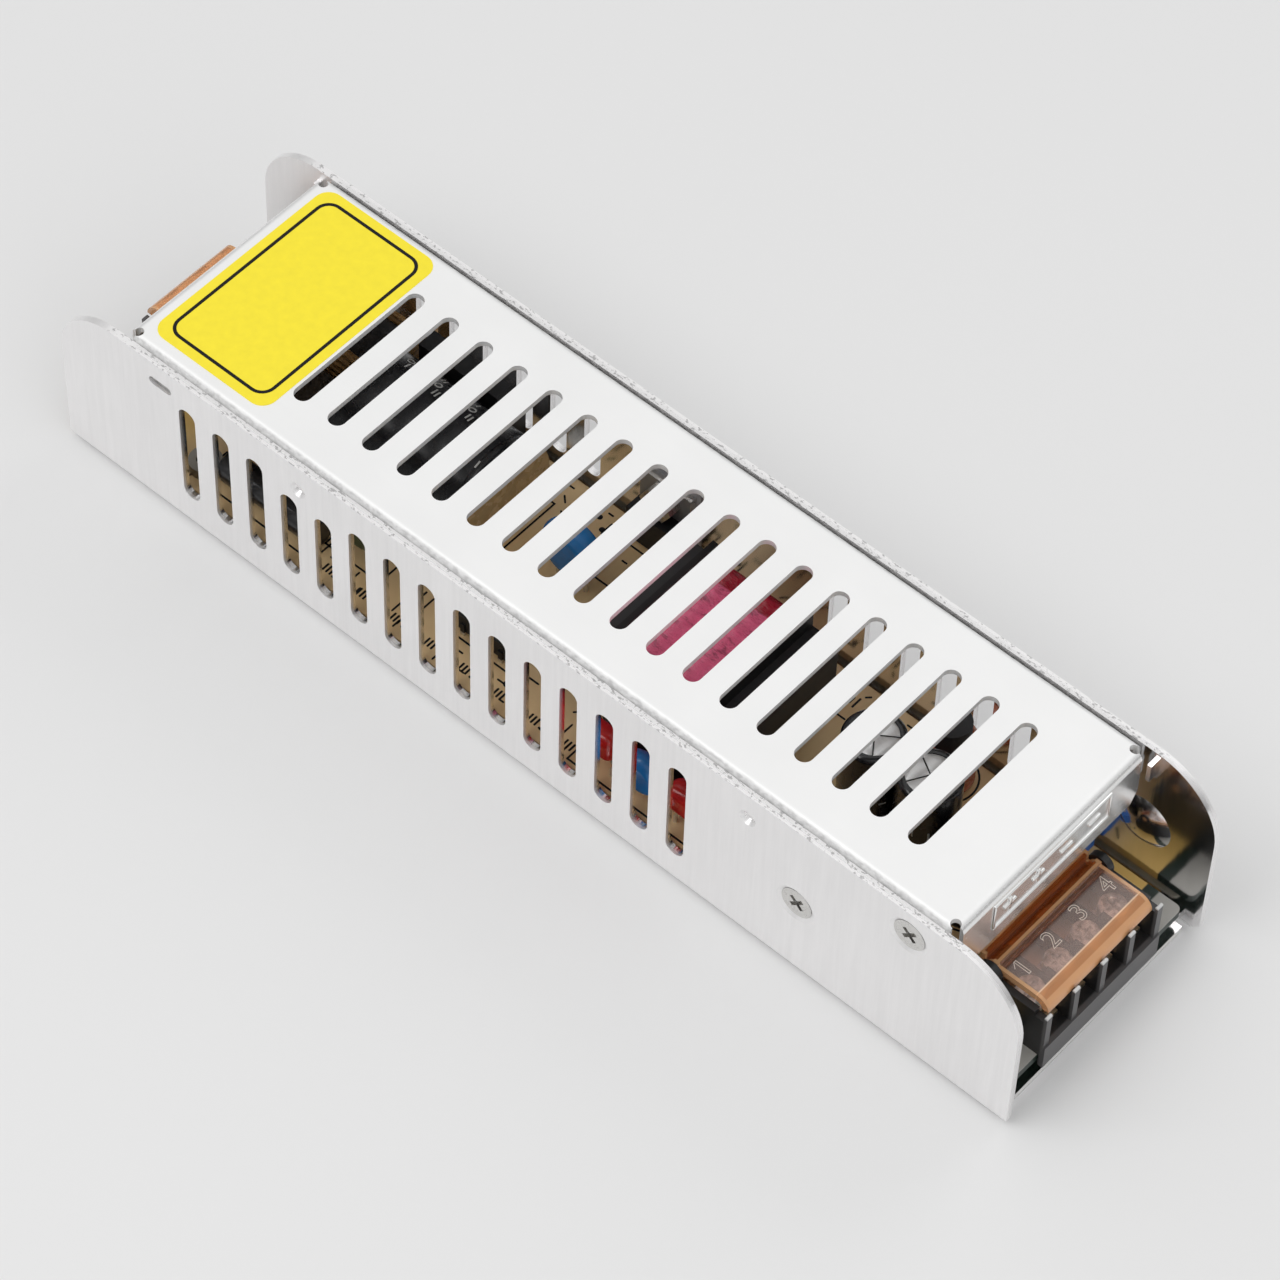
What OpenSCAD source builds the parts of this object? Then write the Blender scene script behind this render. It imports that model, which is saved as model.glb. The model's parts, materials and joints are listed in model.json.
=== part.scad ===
// Slim switching power supply in a folded, perforated aluminium case. Lengths in millimetres.
// +X points to the direct-current output end, +Z is up, the origin is the middle of the underside.

/* [Case] */
// Length of the side walls
case_l = 188; // [184:1:210]
// Width over the side walls
case_w = 46; // [45:0.5:56]
// Height of the side walls
case_h = 34; // [33:0.5:40]
// Thickness of the base sheet
base_t = 1.2; // [1:0.1:1.4]
// Outer radius of the folds along the base
base_fold_r = 1.8; // [1.6:0.1:2.4]
// Radius of the walls' upper corners
wall_corner_r = 12; // [8:0.5:14]
// Length of the walls beyond the base plate at each end
wall_overhang = 2; // [1.5:0.5:3]
// Bevel on the walls' lower corners
wall_bevel = 1.6; // [1:0.1:2]

/* [Cover] */
// Length over the cover's end flanges
cover_l = 161.8; // [158:0.2:164]
// Thickness of the cover sheet
cover_t = 1; // [0.8:0.1:1.2]
// Gap between the cover's side flanges and the walls
cover_fit = 0.2; // [0.1:0.05:0.4]
// Height of the cover's top above the walls
cover_rise = 0.3; // [0.2:0.1:0.8]
// Outer radius of the cover's folds
cover_fold_r = 1.5; // [1.3:0.1:2]
// Height of the end flanges
end_flange_h = 10.9; // [8:0.1:12]
// Height of the side flanges
side_flange_h = 5.2; // [4:0.1:5.6]
// Height of the ears on the side flanges
ear_h = 8.4; // [7.6:0.1:9]
// Length of one ear along the case
ear_l = 12; // [10:0.5:14]
// Radius of the round reliefs at the cover's corners
relief_r = 0.8; // [0.6:0.1:1.2]

/* [Ventilation] */
// Distance between neighbouring slots
slot_pitch = 7; // [6:0.1:7.4]
// Number of slots in the cover
top_slots = 18; // [10:1:18]
// Length of a slot in the cover
top_slot_l = 27.4; // [20:0.2:30]
// Width of a slot in the cover
top_slot_w = 3; // [2.4:0.1:3.6]
// Place of the first slot in the cover
top_slot_x = -52.9; // [-56:0.1:-48]
// Number of slots in the near wall
side_slots = 15; // [8:1:15]
// Place of the first slot in the walls
side_slot_x = -67.1; // [-70:0.1:-62]
// Length of a slot in the walls
side_slot_l = 21; // [16:0.2:21.4]
// Width of a slot in the walls
side_slot_w = 3.4; // [2.6:0.1:4]
// Height of the lower end of the wall slots
side_slot_z = 7; // [6.8:0.1:9]
// Number of slots in each group of the far wall
far_slots = 6; // [3:1:6]
// Slot of the row at which the far wall's second group starts
far_second = 13; // [12:1:13]

/* [Circuit board] */
// Thickness of the circuit board
board_t = 1.6; // [1.2:0.1:2]
// Height of the pressed bosses under the board
boss_h = 2.4; // [2:0.1:3]
// Length of the board
board_l = 182.8; // [178:0.2:183]
// Gap between the board and the walls
board_gap = 1.2; // [0.8:0.1:2]
// Thickness of the insulating film on the base
film_t = 0.25; // [0.15:0.05:0.4]
// Place of the bosses at the input end, from the middle of the case
boss_in_x = 71; // [70:0.5:72]
// Place of the bosses at the output end, from the middle of the case
boss_out_x = 65; // [64:0.5:66]
// Distance of the bosses' middles from the walls
boss_inset = 5.6; // [5.4:0.1:6]

/* [Terminals] */
// Distance between neighbouring terminals
pole_pitch = 6.35; // [6:0.05:6.5]
// Thickness of the ribs between the terminals
rib_t = 1.2; // [1:0.1:1.4]
// Number of output terminals
out_poles = 4; // [2:1:4]
// Number of input terminals
in_poles = 3; // [2:1:4]
// Sideways place of the output terminals
out_y = 0; // [-3:0.1:3]
// Sideways place of the input terminals
in_y = 3.5; // [0:0.1:4]
// Distance of the output block's nose from the middle of the case
nose_x = 92.6; // [92:0.1:94]
// Distance by which the input block stands farther out
in_shift = 1.4; // [0:0.1:1.4]
// Depth of a terminal block from nose to back
block_d = 15; // [14.6:0.1:15.6]
// Height of the wire floor above the board
floor_h = 2.5; // [2:0.1:3]
// Height of the ribs above the wire floor
rib_h = 6.3; // [6:0.1:7]
// Drop of the nose below the board's upper face
nose_drop = 2.4; // [1:0.1:2.6]
// Distance of the output cover's lip from the block's nose
out_lid_front = 1.2; // [1:0.1:1.4]
// Distance of the input cover's lip from the block's nose
in_lid_front = 0.2; // [0.1:0.1:0.4]
// Thickness of the amber covers
lid_t = 1.2; // [1:0.1:1.4]
// Gap between an amber cover and its block
lid_gap = 0.2; // [0.15:0.05:0.4]
// Radius of the covers' hinge pins
hinge_r = 0.9; // [0.7:0.05:1]
// Gap between a hinge pin and its hole
hinge_fit = 0.05; // [0.02:0.01:0.08]
// Radius of the terminal screws' heads
pole_head_r = 2.2; // [1.9:0.1:2.3]

/* [Screws] */
// Radius of the screw shanks
shank_r = 1.45; // [1.2:0.05:1.5]
// Gap between a shank and its hole
shank_fit = 0.1; // [0.05:0.05:0.2]
// Radius of the countersunk heads
sunk_head_r = 2.8; // [2.6:0.1:3]
// Depth of the countersunk heads below the walls
sunk_recess = 0.3; // [0.2:0.05:0.4]
// Place of the cover screw along the case
cover_screw_x = 73.6; // [72:0.1:74]
// Place of the rectifier along the case
rectifier_x = 53.6; // [50:0.1:56]
// Place of the switching transistor along the case
switch_x = -9; // [-12:0.1:-4]
// Height of the device screws
device_screw_z = 16.4; // [15.8:0.1:17]

/* [Parts on the board] */
// Radius of the bulk capacitor
bulk_r = 10; // [8:0.1:10.5]
// Length of the bulk capacitor
bulk_l = 29; // [24:0.5:30]
// Length of the transformer's winding
winding_l = 17.5; // [14:0.5:18]
// Width of the transformer's winding
winding_w = 24; // [20:0.5:25]
// Height of the transformer's winding
winding_h = 21; // [18:0.5:22]
// Thickness of the transformer core's end walls
core_t = 5; // [4:0.1:5.4]
// Radius of the output capacitors
can_r = 5; // [4:0.1:5]
// Height of the output capacitors
can_h = 20; // [16:0.5:22]
// Side of the voltage trimmer's square body
trimmer_w = 6.6; // [6:0.1:7]
// Height of the voltage trimmer's body
trimmer_h = 5; // [4:0.1:6]
// Radius of the trimmer's turning slotted disc
rotor_r = 2.2; // [1.8:0.1:2.4]

/* [Hidden] */
$fn = 48;
eps = 0.01;
through = 400;

half_w = case_w / 2;
inner_w = half_w - base_t;
plate_l = case_l - 2 * wall_overhang;
cover_top = case_h + cover_rise;
cover_half_w = inner_w - cover_fit;
board_low = base_t + boss_h;
board_top = board_low + board_t;
board_w = 2 * (inner_w - board_gap);
boss_r = 3;
boss_hole_r = shank_r + shank_fit / 2;
mount_span = 120;
mount_hole_r = 1.25;
mount_collar_r = 2.2;
mount_collar_h = 0.8;
snap_x = 44;
snap_drop = 5.4;
snap_z = case_h - snap_drop;
snap_r = 1.5;
snap_tip_r = 0.9;
snap_in = 0.8;
ear_screw_drop = 5.6;
ear_screw_z = case_h - ear_screw_drop;
short_slot_first = 3;
short_slot_last = 4;
short_slot_drop = 2.6;
sunk_depth = 1.1;
sunk_hole_r = shank_r + shank_fit;
sunk_dish_r = 3.45;

floor_z = board_top + floor_h;
rib_z = floor_z + rib_h;
block_back = nose_x - block_d;
hinge_setback = 11.35;
hinge_x = nose_x - hinge_setback;
lid_seat = 0.3;
lip_r = 2.3;
lid_top = rib_z + lid_seat + lip_r;
hinge_z = lid_top - lid_t;
hinge_ear_t = 1.1;
ear_top_r = hinge_r + hinge_ear_t;
tail_reach = 2.5;
tail_rise = 2;
tail_r = sqrt(tail_reach * tail_reach + tail_rise * tail_rise);
tail_t = 0.8;
tail_clear = 0.4;
rib_low_z = hinge_z - tail_r - tail_clear;
rib_step = 6.2;
rib_step_x = nose_x - rib_step;
pole_setback = 6.3;
pole_x = nose_x - pole_setback;
back_wall_t = 1.6;
contact_t = 0.8;
contact_w = 4.6;
clamp_w = 4.8;
clamp_lift = 1.1;
clamp_z = floor_z + contact_t + clamp_lift;
pole_head_h = 2.2;
pole_shank_r = 1.3;
pin_r = 0.6;
pin_fit = 0.15;
pin_back = 3.2;
pin_x = block_back + pin_back;
recess_w = 0.7;
recess_depth = 1;

device_w = 10;
device_tab_t = 1.3;
device_body_t = 4.4;
device_lift = 1;
device_body_h = 6.8;
device_tab_top = 3;
pad_t = 0.3;
nut_h = 2.4;
nut_r = 3.1;
lead_r = 0.4;
lead_pitch = 2.54;

function block_half(n) = (n * pole_pitch + rib_t) / 2;
function pole_y(n, i) = (i - (n - 1) / 2) * pole_pitch;

// Flat slot with round ends, lying along the first axis
module slot(l, w) {
    square([l - w, w], center = true);
    translate([(l - w) / 2, 0]) circle(w / 2);
    translate([(w - l) / 2, 0]) circle(w / 2);
}

// Rectangle with four round corners, centred
module round_rect(l, w, r) {
    square([l - 2 * r, w], center = true);
    square([l, w - 2 * r], center = true);
    for (i = [-1, 1], j = [-1, 1])
        translate([i * (l / 2 - r), j * (w / 2 - r)]) circle(r);
}

// Upright block with round vertical edges, standing on its base
module round_block(l, w, h, r) {
    linear_extrude(h) round_rect(l, w, r);
}

// Solid U outline that the base sheet is folded round
module fold_outline(half, low, r) {
    translate([-half, low + r]) square([2 * half, case_h - low - r + eps]);
    translate([r - half, low]) square([2 * (half - r), r + eps]);
    for (s = [-1, 1])
        translate([s * (half - r), low + r]) circle(r);
}

// Side view of the walls with round upper corners and bevelled lower ones
module wall_outline() {
    half_l = case_l / 2;
    difference() {
        translate([-half_l, 0]) square([case_l, case_h]);
        for (s = [-1, 1]) {
            difference() {
                translate([s * (half_l - wall_corner_r / 2 + eps), case_h - wall_corner_r / 2 + eps])
                    square(wall_corner_r + 2 * eps, center = true);
                translate([s * (half_l - wall_corner_r), case_h - wall_corner_r])
                    circle(wall_corner_r, $fn = 96);
            }
            translate([s * half_l, 0]) rotate(45)
                square(wall_bevel * sqrt(2), center = true);
        }
    }
}

module folded_base() {
    intersection() {
        rotate([90, 0, 90]) linear_extrude(case_l, center = true) difference() {
            fold_outline(half_w, 0, base_fold_r);
            fold_outline(inner_w, base_t, base_fold_r - base_t);
        }
        rotate([90, 0, 0]) linear_extrude(case_w + 2, center = true) wall_outline();
    }
}

// Places the child on each boss under the board
module at_bosses() {
    for (x = [-boss_in_x, boss_out_x], side = [-1, 1])
        translate([x, side * (inner_w - boss_inset), 0]) children();
}

// Turns a flat shape into a cut through the wall at the given side
module wall_cut(side, x, z) {
    translate([x, side * half_w, z]) rotate([90, 0, 0])
        linear_extrude(4 * base_t, center = true) children();
}

// Upright wall slot, shortened at its top
module wall_slot(side, x, drop) {
    l = side_slot_l - drop;
    wall_cut(side, x, side_slot_z + l / 2) rotate(90) slot(l, side_slot_w);
}

// Countersunk hole from the outside of a wall
module sunk_hole(side, x, z) {
    translate([x, side * half_w, z]) rotate([side * 90, 0, 0]) {
        cylinder(r1 = sunk_dish_r, r2 = sunk_hole_r, h = sunk_depth);
        cylinder(r = sunk_hole_r, h = 2 * base_t);
    }
}

// Dimple pressed inward from the outside of a wall, with its hollow
module snap_bump(side, x) {
    translate([x, side * (inner_w - snap_in + eps), snap_z]) rotate([-side * 90, 0, 0])
        cylinder(r1 = snap_tip_r, r2 = snap_r, h = snap_in);
}
module snap_hollow(side, x) {
    translate([x, side * (half_w - snap_in), snap_z]) rotate([-side * 90, 0, 0])
        cylinder(r1 = snap_tip_r, r2 = snap_r, h = snap_in + eps);
}

// Round dome pressed inward from the far wall beside the output terminals
dish_setback = 12.3;
dish_x = case_l / 2 - dish_setback;
dish_z = 17;
dish_r = 5;
dish_in = 1.5;
dish_ball_r = (dish_r * dish_r + dish_in * dish_in) / (2 * dish_in);
module dish(gap) {
    low = inner_w - dish_in + gap;
    intersection() {
        translate([dish_x, low + dish_ball_r, dish_z]) sphere(dish_ball_r, $fn = 96);
        translate([dish_x - 2 * dish_r, low - eps, dish_z - 2 * dish_r])
            cube([4 * dish_r, dish_in + 2 * eps, 4 * dish_r]);
    }
}

// Lanced tabs in the far wall that stop the cover's ends
stop_gap = 0.6;
stop_t = 0.7;
stop_reach = 1.1;
stop_h = 3.6;
stop_drop = 4;
module stop_tabs() {
    w = stop_reach + base_t / 2;
    x = cover_l / 2 + stop_gap + stop_t / 2;
    for (s = [-1, 1])
        translate([s * x, inner_w - stop_reach + w / 2, case_h - stop_drop])
            cube([stop_t, w, stop_h], center = true);
}

lance_l = 4.6;
lance_w = 1.6;
lance_x = -72.5;
lance_drop = 4.3;
lance_z = case_h - lance_drop;
notch_l = 1.6;
notch_w = 1.4;

module base_channel() {
    color("gainsboro") difference() {
        union() {
            folded_base();
            at_bosses() cylinder(r = boss_r, h = board_low);
            for (s = [-1, 1])
                translate([s * mount_span / 2, 0, 0])
                    cylinder(r = mount_collar_r, h = base_t + mount_collar_h);
            for (side = [-1, 1], s = [-1, 1])
                snap_bump(side, s * snap_x);
            dish(0);
            stop_tabs();
        }
        for (s = [-1, 1]) {
            translate([s * (plate_l / 2 + wall_overhang), 0, 0])
                cube([2 * wall_overhang, 2 * inner_w, 2 * base_fold_r + eps], center = true);
            for (side = [-1, 1])
                translate([s * plate_l / 2, side * (inner_w - notch_w / 2), 0])
                    cube([2 * notch_l, notch_w, 2 * base_fold_r + eps], center = true);
            translate([s * mount_span / 2, 0, -eps]) cylinder(r = mount_hole_r, h = through);
        }
        at_bosses() translate([0, 0, base_t]) cylinder(r = boss_hole_r, h = through);
        for (i = [0 : side_slots - 1])
            wall_slot(-1, side_slot_x + i * slot_pitch,
                i == short_slot_first || i == short_slot_last ? short_slot_drop : 0);
        for (i = [0 : far_slots - 1], k = [1, far_second])
            wall_slot(1, side_slot_x + (i + k) * slot_pitch, 0);
        for (side = [-1, 1], s = [-1, 1])
            snap_hollow(side, s * snap_x);
        dish(base_t);
        wall_cut(-1, lance_x, lance_z) slot(lance_l, lance_w);
        sunk_hole(-1, cover_screw_x, ear_screw_z);
        sunk_hole(-1, rectifier_x, device_screw_z);
        sunk_hole(1, switch_x, device_screw_z);
    }
}

// Section of the cover across the case
module cover_section() {
    low = cover_top - ear_h;
    inner = cover_half_w - cover_t;
    r = cover_fold_r - cover_t;
    difference() {
        union() {
            translate([-cover_half_w, low]) square([2 * cover_half_w, ear_h - cover_fold_r]);
            translate([cover_fold_r - cover_half_w, low])
                square([2 * (cover_half_w - cover_fold_r), ear_h]);
            for (s = [-1, 1])
                translate([s * (cover_half_w - cover_fold_r), cover_top - cover_fold_r])
                    circle(cover_fold_r);
        }
        translate([-inner, low - eps]) square([2 * inner, ear_h - cover_t - r + eps]);
        translate([r - inner, low - eps]) square([2 * (inner - r), ear_h - cover_t + eps]);
        for (s = [-1, 1])
            translate([s * (inner - r), cover_top - cover_t - r]) circle(r);
    }
}

// Side view of one end fold: a strip that turns down into the flange
module end_fold_section() {
    end = cover_l / 2;
    low = cover_top - end_flange_h;
    translate([end - cover_t, low]) square([cover_t, end_flange_h - cover_fold_r]);
    intersection() {
        translate([end - cover_fold_r, cover_top - cover_fold_r]) difference() {
            circle(cover_fold_r);
            circle(cover_fold_r - cover_t);
        }
        translate([end - cover_fold_r, cover_top - cover_fold_r]) square(cover_fold_r);
    }
}

flange_bevel_y = 1.4;
flange_bevel_z = 2.2;

// Front view of an end flange with its two bevelled lower corners
module flange_outline() {
    half = cover_half_w - cover_fold_r;
    low = cover_top - end_flange_h;
    polygon([[-half, cover_top + 1], [-half, low + flange_bevel_z], [flange_bevel_y - half, low],
        [half - flange_bevel_y, low], [half, low + flange_bevel_z], [half, cover_top + 1]]);
}

module end_flanges() {
    intersection() {
        for (turn = [0, 180])
            rotate([0, 0, turn]) rotate([90, 0, 0])
                linear_extrude(2 * cover_half_w, center = true) end_fold_section();
        rotate([90, 0, 90]) linear_extrude(through, center = true) flange_outline();
    }
}

// Room below the side flanges, left out where the ears reach down
module below_side_flanges() {
    low = cover_top - side_flange_h;
    z = low - through / 2;
    screw_ear = [cover_screw_x - ear_l / 2, cover_screw_x + ear_l / 2];
    starts = [-through / 2, ear_l / 2 - snap_x, snap_x + ear_l / 2, screw_ear[1]];
    ends = [-snap_x - ear_l / 2, snap_x - ear_l / 2, screw_ear[0], through / 2];
    for (i = [0 : len(starts) - 1])
        translate([(starts[i] + ends[i]) / 2, 0, z])
            cube([ends[i] - starts[i], case_w, through], center = true);
}

module top_cover() {
    fold_l = cover_l - 2 * cover_fold_r;
    color("whitesmoke") difference() {
        union() {
            difference() {
                rotate([90, 0, 90]) linear_extrude(fold_l, center = true) cover_section();
                below_side_flanges();
            }
            end_flanges();
        }
        for (i = [0 : top_slots - 1])
            translate([top_slot_x + i * slot_pitch, 0, cover_top])
                linear_extrude(4 * cover_t, center = true) rotate(90) slot(top_slot_l, top_slot_w);
        for (i = [-1, 1], j = [-1, 1])
            translate([i * (fold_l / 2), j * (cover_half_w - cover_fold_r), cover_top - cover_fold_r])
                cylinder(r = relief_r, h = 6 * cover_t, center = true);
        for (s = [-1, 1])
            translate([s * snap_x, 0, snap_z]) rotate([90, 0, 0])
                cylinder(r = snap_r + 2 * cover_fit, h = case_w, center = true);
        translate([cover_screw_x, -inner_w, ear_screw_z]) rotate([90, 0, 0])
            cylinder(r = sunk_hole_r, h = 6 * cover_t, center = true);
    }
}

// Cross recess that reaches the given depth below the origin's plane
module cross_recess(reach) {
    for (turn = [45, 135])
        rotate(turn) cube([2 * reach, recess_w, 2 * recess_depth], center = true);
}

// Countersunk screw set into the given wall, with its tip inside the case
module sunk_screw(side, x, z, l) {
    y = side * (half_w - sunk_recess);
    translate([x, y, z]) rotate([side * 90, 0, 0]) difference() {
        union() {
            cylinder(r1 = sunk_head_r, r2 = shank_r, h = sunk_depth - sunk_recess);
            cylinder(r = shank_r, h = l - sunk_recess);
        }
        cross_recess(shank_r);
    }
}

cover_screw_reach = 2.4;
module cover_screw() {
    l = base_t + cover_fit + cover_t + cover_screw_reach;
    color("silver") sunk_screw(-1, cover_screw_x, ear_screw_z, l);
}

// Round holes where the terminals' pins pass the board
module pin_holes(n) {
    for (i = [0 : n - 1])
        translate([pin_x, pole_y(n, i), 0]) cylinder(r = pin_r + pin_fit, h = through, center = true);
}

// Puts a child built for the output end at the output or the input end
module at_output() { translate([0, out_y, 0]) children(); }
module at_input() { translate([-in_shift, in_y, 0]) rotate([0, 0, 180]) children(); }

board_corner_r = 1;
module circuit_board() {
    color("peru") difference() {
        translate([0, 0, board_low]) round_block(board_l, board_w, board_t, board_corner_r);
        at_bosses() cylinder(r = shank_r + shank_fit, h = through, center = true);
        at_output() pin_holes(out_poles);
        at_input() pin_holes(in_poles);
    }
}

film_gap = 0.5;
film_end_gap = 3;
film_side_gap = 0.5;
film_l = board_l - 2 * film_end_gap;
film_w = board_w - 2 * film_side_gap;
module insulating_film() {
    color("ivory") difference() {
        translate([0, 0, base_t]) round_block(film_l, film_w, film_t, board_corner_r);
        at_bosses() cylinder(r = boss_r + film_gap, h = through, center = true);
        for (s = [-1, 1])
            translate([s * mount_span / 2, 0, 0])
                cylinder(r = mount_collar_r + film_gap, h = through, center = true);
    }
}

board_head_r = 2.7;
board_head_h = 1.9;
tip_gap = 0.3;
module board_screws() {
    low = base_t + tip_gap;
    color("silver") at_bosses() difference() {
        union() {
            translate([0, 0, board_top]) cylinder(r = board_head_r, h = board_head_h);
            translate([0, 0, low]) cylinder(r = shank_r, h = board_top - low + eps);
        }
        translate([0, 0, board_top + board_head_h]) cross_recess(shank_r);
    }
}

rib_front = 0.3;
tip_r = 0.28;
tip_h = 1.2;

// Side view of a rib between two terminals
module rib_outline() {
    front = nose_x - rib_front;
    translate([block_back, board_top]) square([front - block_back, rib_low_z - board_top]);
    translate([rib_step_x, board_top]) square([front - rib_step_x, rib_z - board_top]);
}

// Round-topped tip that stands up from a rib before the cover's lip
module rib_tip() {
    x = nose_x - rib_front - 2 * tip_r;
    translate([x, board_top]) square([2 * tip_r, rib_z + tip_h - tip_r - board_top]);
    translate([x + tip_r, rib_z + tip_h - tip_r]) circle(tip_r);
}

shoulder_l = 3.6;
shoulder_rise = 0.9;

// Side view of an end wall, which carries the hinge of the amber cover
module end_wall_outline() {
    rib_outline();
    translate([hinge_x, hinge_z]) circle(ear_top_r);
    translate([hinge_x - ear_top_r, board_top]) square([2 * ear_top_r, hinge_z - board_top]);
    translate([hinge_x, board_top])
        square([rib_step_x + shoulder_l - hinge_x, rib_z + shoulder_rise - board_top]);
}

module upright(y, t) {
    translate([0, y, 0]) rotate([90, 0, 0]) linear_extrude(t, center = true) children();
}

// Barrier block with open bays, built for the output end, with a tip on each rib if asked for
module terminal_block(n, tips) {
    half = block_half(n);
    difference() {
        union() {
            if (tips)
                for (i = [0 : n])
                    upright((i - n / 2) * pole_pitch, rib_t) rib_tip();
            translate([block_back, -half, board_top]) cube([block_d, 2 * half, floor_h]);
            translate([board_l / 2 + lid_gap, -half, board_top - nose_drop])
                cube([nose_x - board_l / 2 - lid_gap, 2 * half, nose_drop + floor_h]);
            translate([block_back, -half, board_top])
                cube([back_wall_t, 2 * half, rib_low_z - board_top]);
            for (i = [1 : n - 1])
                upright(pole_y(n, i) - pole_pitch / 2, rib_t) rib_outline();
            for (s = [-1, 1])
                upright(s * (half - rib_t / 2), rib_t) end_wall_outline();
        }
        translate([hinge_x, 0, hinge_z]) rotate([90, 0, 0])
            cylinder(r = hinge_r + hinge_fit, h = through, center = true);
        pin_holes(n);
    }
}

contact_setback = 2.6;
pin_below = 1.2;

// Flat contact of each terminal with a pin down through the board
module terminal_contacts(n) {
    start = block_back + back_wall_t + lid_gap;
    l = nose_x - contact_setback - start;
    pin_low = board_low - pin_below;
    for (i = [0 : n - 1])
        translate([0, pole_y(n, i), 0]) difference() {
            union() {
                translate([start, -contact_w / 2, floor_z]) cube([l, contact_w, contact_t]);
                translate([pin_x, 0, pin_low]) cylinder(r = pin_r, h = floor_z - pin_low + eps);
            }
            translate([pole_x, 0, floor_z - eps])
                cylinder(r = pole_shank_r + shank_fit / 2, h = through);
        }
}

clamp_corner_r = 0.6;

// Square plate under each screw's head
module terminal_clamps(n) {
    for (i = [0 : n - 1])
        translate([pole_x, pole_y(n, i), clamp_z]) difference() {
            linear_extrude(contact_t) round_rect(clamp_w, clamp_w, clamp_corner_r);
            cylinder(r = pole_shank_r + shank_fit, h = through, center = true);
        }
}

pole_foot_gap = 0.1;
module terminal_screws(n) {
    head_z = clamp_z + contact_t;
    for (i = [0 : n - 1])
        translate([pole_x, pole_y(n, i), 0]) difference() {
            union() {
                translate([0, 0, head_z]) cylinder(r = pole_head_r, h = pole_head_h);
                translate([0, 0, floor_z + pole_foot_gap])
                    cylinder(r = pole_shank_r, h = head_z - floor_z);
            }
            translate([0, 0, head_z + pole_head_h]) rotate(45) cross_recess(pole_shank_r);
        }
}

barrel_t = 0.5;
ridge_back = 0.3;
ridge_w = 0.9;
ridge_h = 0.6;

// Side view of an amber cover: hinge barrel, flat plate, round front lip and turned-up tail
module lid_outline(front) {
    plate_end = nose_x - front - lip_r;
    tail_low = hinge_z - tail_t / 2;
    translate([hinge_x, hinge_z]) square([plate_end - hinge_x, lid_t]);
    intersection() {
        translate([plate_end, lid_top - lip_r]) difference() {
            circle(lip_r);
            circle(lip_r - lid_t);
        }
        translate([plate_end - eps, lid_top - lip_r]) square(lip_r + eps);
    }
    translate([hinge_x, hinge_z]) circle(hinge_r + barrel_t);
    translate([hinge_x - ridge_back, hinge_z]) square([ridge_w, lid_t + ridge_h]);
    translate([hinge_x - tail_reach, tail_low]) square([tail_reach, tail_t]);
    translate([hinge_x - tail_reach, tail_low]) square([tail_t, tail_rise + tail_t / 2]);
}

hinge_pin_short = 0.3;
module terminal_cover(n, front) {
    half = block_half(n) - rib_t - lid_gap;
    upright(0, 2 * half) lid_outline(front);
    translate([hinge_x, 0, hinge_z]) rotate([90, 0, 0])
        cylinder(r = hinge_r, h = 2 * (block_half(n) - hinge_pin_short), center = true);
}

module output_terminal_block() { color("dimgray") at_output() terminal_block(out_poles, true); }
module output_terminal_contacts() { color("gold") at_output() terminal_contacts(out_poles); }
module output_terminal_clamps() { color("silver") at_output() terminal_clamps(out_poles); }
module output_terminal_screws() { color("silver") at_output() terminal_screws(out_poles); }
module output_terminal_cover() {
    color("darkorange") at_output() terminal_cover(out_poles, out_lid_front);
}
module input_terminal_block() { color("dimgray") at_input() terminal_block(in_poles, false); }
module input_terminal_contacts() { color("gold") at_input() terminal_contacts(in_poles); }
module input_terminal_clamps() { color("silver") at_input() terminal_clamps(in_poles); }
module input_terminal_screws() { color("silver") at_input() terminal_screws(in_poles); }
module input_terminal_cover() {
    color("darkorange") at_input() terminal_cover(in_poles, in_lid_front);
}

// Turns a device built against the near wall to the given wall
module at_wall(side, x) {
    translate([x, 0, 0]) rotate([0, 0, side < 0 ? 0 : 180]) translate([0, -inner_w, 0]) children();
}

// Power device with a metal tab, a moulded body and three legs, against the wall
module power_device() {
    low = board_top + device_lift;
    body_top = low + device_body_h;
    tab_top = device_screw_z + device_tab_top;
    difference() {
        translate([-device_w / 2, pad_t, low]) cube([device_w, device_tab_t, tab_top - low]);
        translate([0, 0, device_screw_z]) rotate([90, 0, 0])
            cylinder(r = sunk_hole_r, h = through, center = true);
    }
    translate([-device_w / 2, pad_t + device_tab_t - eps, low])
        cube([device_w, device_body_t - device_tab_t, device_body_h]);
    for (i = [-1 : 1])
        translate([i * lead_pitch, pad_t + device_body_t / 2, board_top])
            cylinder(r = lead_r, h = device_lift + eps);
}

pad_margin = 1;
module device_pad() {
    low = board_top + device_lift;
    w = device_w + 2 * pad_margin;
    h = device_screw_z + device_tab_top + pad_margin - low;
    difference() {
        translate([-w / 2, 0, low]) cube([w, pad_t, h]);
        translate([0, 0, device_screw_z]) rotate([90, 0, 0])
            cylinder(r = sunk_hole_r, h = through, center = true);
    }
}

module device_nut() {
    translate([0, pad_t + device_tab_t, device_screw_z]) rotate([-90, 0, 0]) difference() {
        cylinder(r = nut_r, h = nut_h, $fn = 6);
        cylinder(r = shank_r + shank_fit / 2, h = through, center = true);
    }
}

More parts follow.
